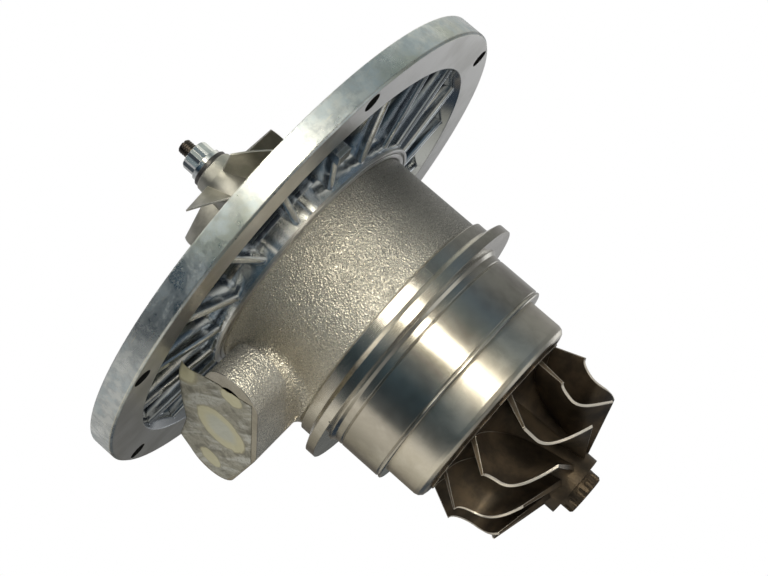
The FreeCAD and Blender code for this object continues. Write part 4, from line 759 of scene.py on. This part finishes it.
tapeLook = {
    # the tape's edge, round from its loose corner, as places from the port's centre
    "corners": [(-24.8, -20.1), (-15.2, -27.2), (-5.9, -32.2), (-4.4, -31.7), (-3.3, -32.3),
                (-2.0, -32.6), (-0.6, -33.7), (1.0, -34.3), (8.5, -37.3), (16.3, 6.0),
                (13.2, 24.0), (8.9, 38.9), (2.7, 41.1), (-2.5, 40.7), (-7.3, 39.6),
                (-15.7, 33.4), (-15.0, 16.0), (-19.5, 2.0)],
    "gap": 0.05,
    "thickness": 0.12,
    "edgeStep": 1.2,
    "gridStep": (1.0, 0.95),
    "gridGap": 0.6,
    "portSag": 0.55,
    "holeSag": 0.22,
    "wrinkle": 0.035,
    "wrinkleScale": (0.16, 0.35),
    "cornerReach": 9.0,
    "cornerLift": 2.2,
    "stuck": (0.245, 0.235, 0.185),
    "stuckDark": (0.115, 0.108, 0.08),
    "stuckPale": (0.37, 0.37, 0.33),
    "loose": (0.41, 0.385, 0.245),
    "loosePale": (0.365, 0.37, 0.305),
    "rim": (0.20, 0.18, 0.11),
    # distances from the port, a hole or the corner between which the tape's colour turns to loose or pale
    "overPort": (12.5, 11.2),
    "overHole": (5.6, 4.6),
    "overCorner": (11.0, 8.0),
    "paleOver": (9.5, 5.0),
}


# each corner with the one after it, all the way round
def ringPairs(corners):
    return zip(corners, corners[1:] + corners[:1])


def isInside(spot, outline):
    hit = False
    for first, second in ringPairs(outline):
        if (first.y > spot.y) != (second.y > spot.y):
            crossing = first.x + (spot.y - first.y) * (second.x - first.x) / (second.y - first.y)
            hit = hit != (spot.x < crossing)
    return hit


# the tape stays inside the model's box below, so what is loose bends up towards the plate
def tapeHeight(spot):
    holes = [Vector((0, side * drainShape["holes"])) for side in (-1, 1)]
    portNear = max(0.0, 1 - spot.length / drainShape["portRadius"])
    holeNear = max(max(0.0, 1 - (spot - hole).length / drainShape["holeRadius"]) for hole in holes)
    cornerNear = max(0.0, 1 - (spot - Vector(tapeLook["corners"][0])).length / tapeLook["cornerReach"])
    over = portNear ** 0.8 * tapeLook["portSag"] + holeNear ** 0.7 * tapeLook["holeSag"]
    scaleX, scaleY = tapeLook["wrinkleScale"]
    wrinkle = noise.noise(Vector((spot.x * scaleX, spot.y * scaleY, 3.0))) * tapeLook["wrinkle"]
    level = drainShape["face"] - tapeLook["gap"] - tapeLook["thickness"] - 0.01
    bend = over * 0.5 + tapeLook["cornerLift"] * cornerNear ** 2
    z = level + bend + wrinkle * (1.0 if over > 0.02 else 0.25)
    z = max(z, level - 0.01)
    return z if over > 0 or cornerNear > 0 else min(z, level + 0.02)


def tapePiece():
    outline = []
    for corner, following in ringPairs([Vector(corner) for corner in tapeLook["corners"]]):
        steps = max(1, int((following - corner).length / tapeLook["edgeStep"]))
        outline += [corner.lerp(following, step / steps) for step in range(steps)]
    count = len(outline)
    edges = [(index, (index + 1) % count) for index in range(count)]
    stepX, stepY = tapeLook["gridStep"]
    grid = []
    for row in range(-40, 48):  # rows and columns that cover the whole tape
        for column in range(-30, 22):
            spot = Vector((column * stepX + (row % 2) * stepX / 2, row * stepY))
            clear = min((spot - point).length for point in outline) > tapeLook["gridGap"]
            if clear and isInside(spot, outline):
                grid.append(spot)
    flatPoints, _, faces, _, _, _ = delaunay_2d_cdt(outline + grid, edges, [], 1, 1e-5)
    shape = bmesh.new()
    verts = []
    for spot in flatPoints:
        place = (drainShape["centre"] + spot.x, spot.y, tapeHeight(spot))
        verts.append(shape.verts.new([value * mm for value in place]))
    for face in faces:
        shape.faces.new([verts[index] for index in face]).smooth = True
    bmesh.ops.recalc_face_normals(shape, faces=shape.faces)
    if sum(face.normal.z for face in shape.faces) > 0:
        bmesh.ops.reverse_faces(shape, faces=shape.faces)
    area = sum(face.calc_area() for face in shape.faces)
    piece = pieceFrom("masking_tape", shape)
    shell = piece.modifiers.new("thickness", "SOLIDIFY")
    shell.thickness = tapeLook["thickness"] * mm
    shell.offset = -1
    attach(piece, "cartridge")
    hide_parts("drain_tape")
    return piece


def tapeMaterial():
    made, tree, shader = newMaterial("masking_tape")
    at = shaftFrame(tree)
    look = tapeLook
    blotch = grain(tree, at.vector, 160.0, 5.0, 0.62, 0.5)
    ragged = times(tree, minus(tree, blotch, 0.5), 0.004)

    def near(spot, low, high):  # 1 close to a spot and 0 away from it, with a ragged edge between
        return fadeAt(tree, plus(tree, fromSpot(tree, at, *spot), ragged), low, high)

    # the tape hangs loose over the port and both screw holes, and at its corner
    middle = (0.0, 0.0)
    spots = [near((0.0, side * drainShape["holes"]), *look["overHole"]) for side in (-1, 1)]
    spots += [near(middle, *look["overPort"]), near(look["corners"][0], *look["overCorner"])]
    loose = larger(tree, *spots)

    crepePlace = vectorOf(tree, times(tree, at.along, 900.0), times(tree, at.across, 260.0), 0.0)
    crepe = grain(tree, crepePlace, 1.0, 3.0, 0.6)
    creases = grain(tree, at.vector, 210.0, 2.0, 0.5, 1.2)
    speckle = grain(tree, at.vector, 900.0, 4.0, 0.7)
    # pale streaks run slantwise over the stuck tape
    slant = plus(tree, times(tree, at.along, 150.0), times(tree, at.across, 90.0))
    streaks = grain(tree, vectorOf(tree, slant, times(tree, at.across, 45.0), 0.0), 1.0, 5.0, 0.62, 0.6)

    colour = mixColour(tree, fade(tree, blotch, 0.36, 0.58), look["stuckDark"], look["stuck"])
    colour = mixColour(tree, times(tree, fade(tree, streaks, 0.50, 0.64), 0.8), colour, look["stuckPale"])
    colour = mixColour(tree, times(tree, fade(tree, speckle, 0.50, 0.38), 0.55), colour, look["stuckDark"])
    looseColour = mixColour(tree, near(middle, *look["paleOver"]), look["loose"], look["loosePale"])
    colour = mixColour(tree, times(tree, loose, 0.85), colour, looseColour)
    rim = times(tree, loose, opposite(tree, loose), 2.4)
    colour = mixColour(tree, rim, colour, look["rim"])
    normal = bumps(tree, None, (crepe, 0.05, 0.7), (creases, 0.16, 0.8))
    finishLook(tree, shader, colour, mixValue(tree, blotch, 0.42, 0.62), normal, 0.0)
    return made


tape = tapePiece()
assign(tape, tapeMaterial())
print("tape made")


# Thread on the shaft's end

threadLook = {
    "start": -57.0,
    "end": -51.5,
    "pitch": 1.0,
    "root": 2.97,
    "crest": 3.22,
    "perTurn": 48,
    "runOut": 12,
    # places along the shaft in pitches, each with its share of the way from root to crest
    "profile": [(-0.5, 0.0), (-0.1, 1.0), (0.1, 1.0), (0.5, 0.0)],
}


def threadPiece():
    look = threadLook
    shape = bmesh.new()
    turns = (look["end"] - look["start"]) / look["pitch"] - 1
    total = int(turns * look["perTurn"])
    rows = []
    for step in range(total + 1):
        angle = 2 * math.pi * step / look["perTurn"]
        place = look["start"] + look["pitch"] * (0.5 + step / look["perTurn"])
        full = min(1.0, step / look["runOut"], (total - step) / look["runOut"])
        row = []
        for shift, share in look["profile"]:
            radius = look["root"] + (look["crest"] - look["root"]) * share * full
            spot = (place + shift * look["pitch"], radius * math.cos(angle), radius * math.sin(angle))
            row.append(shape.verts.new([value * mm for value in spot]))
        rows.append(row)
    for first, second in zip(rows, rows[1:]):
        for side in range(len(look["profile"]) - 1):
            shape.faces.new((first[side], first[side + 1], second[side + 1], second[side]))
    bmesh.ops.recalc_face_normals(shape, faces=shape.faces)
    piece = pieceFrom("shaft_thread", shape)
    assign(piece, shaftSteel)
    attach(piece, "rotor")


threadPiece()
print("thread made")


# Floor, studio room and lamps, in metres

studio = {
    "floorHeight": -0.42,
    "floorHalf": 2.5,
    "floorColour": (0.86, 0.85, 0.83),
    "floorPale": (0.88, 0.87, 0.85),
    "worldLight": 0.55,
    "worldShade": (0.97, 0.98, 1.0),
    "roomRadius": 6.0,
    "side": (0.20, 0.20, 0.19),
    "sideFrom": (0.70, 0.97),
    # what the metals mirror, by the angle in degrees from the front over the top and behind: -90 is the
    # floor and 90 the ceiling; both lists were set from colours read off the photo's turned surfaces at
    # even steps, turned into light and then changed
    "room": [
        (-176, (0.12, 0.11, 0.095)),
        (-157, (0.33, 0.31, 0.25)),
        (-138, (0.50, 0.48, 0.41)),
        (-122, (0.72, 0.69, 0.60)),
        (-105, (0.68, 0.65, 0.57)),
        (-98, (0.13, 0.14, 0.14)),
        (-80, (0.035, 0.045, 0.05)),
        (-56, (0.045, 0.07, 0.085)),
        (-40, (0.15, 0.17, 0.17)),
        (-24, (0.50, 0.47, 0.40)),
        (8, (0.37, 0.345, 0.29)),
        (22, (0.13, 0.15, 0.145)),
        (44, (0.085, 0.115, 0.14)),
        (60, (0.10, 0.115, 0.125)),
        (74, (0.15, 0.155, 0.15)),
        (92, (0.16, 0.165, 0.155)),
        (110, (0.21, 0.21, 0.205)),
        (128, (0.33, 0.33, 0.325)),
        (146, (0.44, 0.44, 0.44)),
        (156, (0.12, 0.13, 0.13)),
        (166, (0.20, 0.19, 0.17)),
        (174, (0.12, 0.11, 0.095)),
    ],
    # the same for what lies further left, where the plate's rim looks
    "roomLeft": [
        (-173, (0.62, 0.62, 0.61)),
        (-157, (0.42, 0.42, 0.415)),
        (-141, (0.33, 0.33, 0.34)),
        (-124, (0.36, 0.37, 0.38)),
        (-107, (0.24, 0.25, 0.255)),
        (-90, (0.012, 0.02, 0.03)),
        (-75, (0.022, 0.038, 0.055)),
        (-58, (0.065, 0.095, 0.12)),
        (-41, (0.14, 0.185, 0.21)),
        (-25, (0.24, 0.28, 0.28)),
        (9, (1.15, 1.15, 1.05)),
        (25, (0.43, 0.47, 0.43)),
        (42, (0.22, 0.245, 0.245)),
        (58, (0.36, 0.41, 0.39)),
        (75, (0.62, 0.64, 0.58)),
        (90, (0.86, 0.87, 0.79)),
        (107, (0.80, 0.80, 0.74)),
        (124, (0.58, 0.58, 0.575)),
    ],
    "leftStarts": (-0.17, -0.21),
    # direction, half width and fall-off in degrees, colour, how much it replaces the room
    "patches": [
        {"toward": (-0.72, -0.48, -0.50), "half": 13, "soft": 10, "colour": (2.6, 2.5, 2.2), "share": 1.0},
        {"toward": (0.64, 0.70, 0.30), "half": 13, "soft": 9, "colour": (0.09, 0.10, 0.11), "share": 1.0},
        {"toward": (0.42, 0.60, 0.70), "half": 7, "soft": 8, "colour": (1.1, 1.12, 1.1), "share": 1.0},
        {"toward": (0.42, 0.90, -0.10), "half": 12, "soft": 10, "colour": (0.035, 0.05, 0.07), "share": 1.0},
        {"toward": (0.80, 0.45, 0.55), "half": 12, "soft": 10, "colour": (0.04, 0.055, 0.075), "share": 1.0},
        {"toward": (0.85, -0.20, 0.45), "half": 10, "soft": 12, "colour": (0.60, 0.60, 0.56), "share": 1.0},
        {"toward": (0.80, -0.50, -0.20), "half": 14, "soft": 12, "colour": (0.05, 0.055, 0.06), "share": 1.0},
        {"toward": (-0.14, -0.97, -0.19), "half": 10, "soft": 9, "colour": (0.64, 0.58, 0.42), "share": 0.8},
        {"toward": (-0.15, -0.975, -0.16), "half": 4, "soft": 7, "colour": (11.0, 10.4, 8.8), "share": 1.0},
    ],
    "lampTarget": (0.04, 0, 0),
    # place, size, power and colour
    "lamps": {
        "key_lamp": ((-0.25, -1.25, 0.20), (0.9, 0.45), 16, (1.0, 0.96, 0.90)),
        "top_lamp": ((0.2, 0.2, 1.3), (1.0, 1.0), 8, (0.95, 1.0, 0.98)),
        "back_lamp": ((0.3, 1.3, 0.2), (1.2, 0.8), 8, (1.0, 0.98, 0.95)),
    },
}


def floorPiece():
    made, tree, shader = newMaterial("studio_floor")
    clouds = grain(tree, pointOf(tree), 8.0)
    colour = mixColour(tree, clouds, studio["floorColour"], studio["floorPale"])
    finishLook(tree, shader, colour, 0.8, metallic=0.0)
    half = studio["floorHalf"]
    shape = bmesh.new()
    corners = [(-half, -half, 0), (half, -half, 0), (half, half, 0), (-half, half, 0)]
    shape.faces.new([shape.verts.new(corner) for corner in corners])
    floor = pieceFrom("studio_floor", shape)
    floor.location = (0, 0, studio["floorHeight"])
    floor.visible_glossy = False
    assign(floor, made)


def roomRamp(tree, turned, wanted):
    ramp = addNode(tree, "ShaderNodeValToRGB")
    tree.links.new(turned, ramp.inputs[0])
    stops = ramp.color_ramp.elements
    for number, (degrees, colour) in enumerate(wanted):
        stop = stops[number] if number < 2 else stops.new(1.0)
        stop.position = degrees / 360 + 0.5
        stop.color = (*colour, 1.0)
    return ramp.outputs["Color"]


def roomMaterial():
    made, tree, glow = newMaterial("studio_room", "ShaderNodeEmission")
    straight = addNode(tree, "ShaderNodeVectorMath", operation="NORMALIZE")
    tree.links.new(pointOf(tree), straight.inputs[0])
    direction = straight.outputs[0]
    x, y, z = coordinates(tree, direction)
    angle = mathNode(tree, "ARCTAN2", z, times(tree, y, -1.0))
    turned = plus(tree, mathNode(tree, "DIVIDE", angle, 2 * math.pi), 0.5)
    farLeft = fade(tree, x, *studio["leftStarts"])
    shade = roomRamp(tree, turned, studio["room"])
    shade = mixColour(tree, farLeft, shade, roomRamp(tree, turned, studio["roomLeft"]))
    sideways = fade(tree, mathNode(tree, "ABSOLUTE", x), *studio["sideFrom"])
    shade = mixColour(tree, sideways, shade, studio["side"])
    for patch in studio["patches"]:
        toward = tuple(Vector(patch["toward"]).normalized())
        inner = math.cos(math.radians(patch["half"]))
        outer = math.cos(math.radians(patch["half"] + patch["soft"]))
        share = times(tree, fade(tree, dotProduct(tree, direction, toward), outer, inner), patch["share"])
        shade = mixColour(tree, share, shade, patch["colour"])
    plug(tree, shade, glow.inputs["Color"])
    return made


# the room is only mirrored: the camera, shadows and matt surfaces don't see it
def roomPiece():
    shape = bmesh.new()
    bmesh.ops.create_icosphere(shape, subdivisions=4, radius=studio["roomRadius"])
    room = pieceFrom("studio_room", shape)
    assign(room, roomMaterial())
    room.visible_camera = False
    room.visible_shadow = False
    room.visible_diffuse = False
    room.visible_transmission = False
    room.visible_volume_scatter = False


def addLamp(name, place, size, power, colour):
    data = bpy.data.lights.new(name, "AREA")
    data.shape = "RECTANGLE"
    data.size, data.size_y = size
    data.energy = power
    data.color = colour
    made = bpy.data.objects.new(name, data)
    made.location = place
    aim = Vector(studio["lampTarget"]) - Vector(place)
    made.rotation_euler = aim.to_track_quat("-Z", "Y").to_euler()
    made.visible_glossy = False  # the metals mirror the room instead
    bpy.context.collection.objects.link(made)


def lightWorld():
    world = bpy.context.scene.world or bpy.data.worlds.new("studio")
    bpy.context.scene.world = world
    world.use_nodes = True
    tree = world.node_tree
    tree.nodes.clear()
    rays = addNode(tree, "ShaderNodeLightPath").outputs
    seen = larger(tree, rays["Is Camera Ray"], rays["Is Transmission Ray"], rays["Is Glossy Ray"])
    background = addNode(tree, "ShaderNodeBackground")
    plug(tree, mixColour(tree, seen, studio["worldShade"], (1.0, 1.0, 1.0)), background.inputs["Color"])
    plug(tree, mixValue(tree, seen, studio["worldLight"], 1.0), background.inputs["Strength"])
    output = addNode(tree, "ShaderNodeOutputWorld")
    tree.links.new(background.outputs[0], output.inputs["Surface"])


floorPiece()
roomPiece()
for name, settings in studio["lamps"].items():
    addLamp(name, *settings)
lightWorld()
bpy.context.scene.view_settings.view_transform = "Standard"
print("studio made")
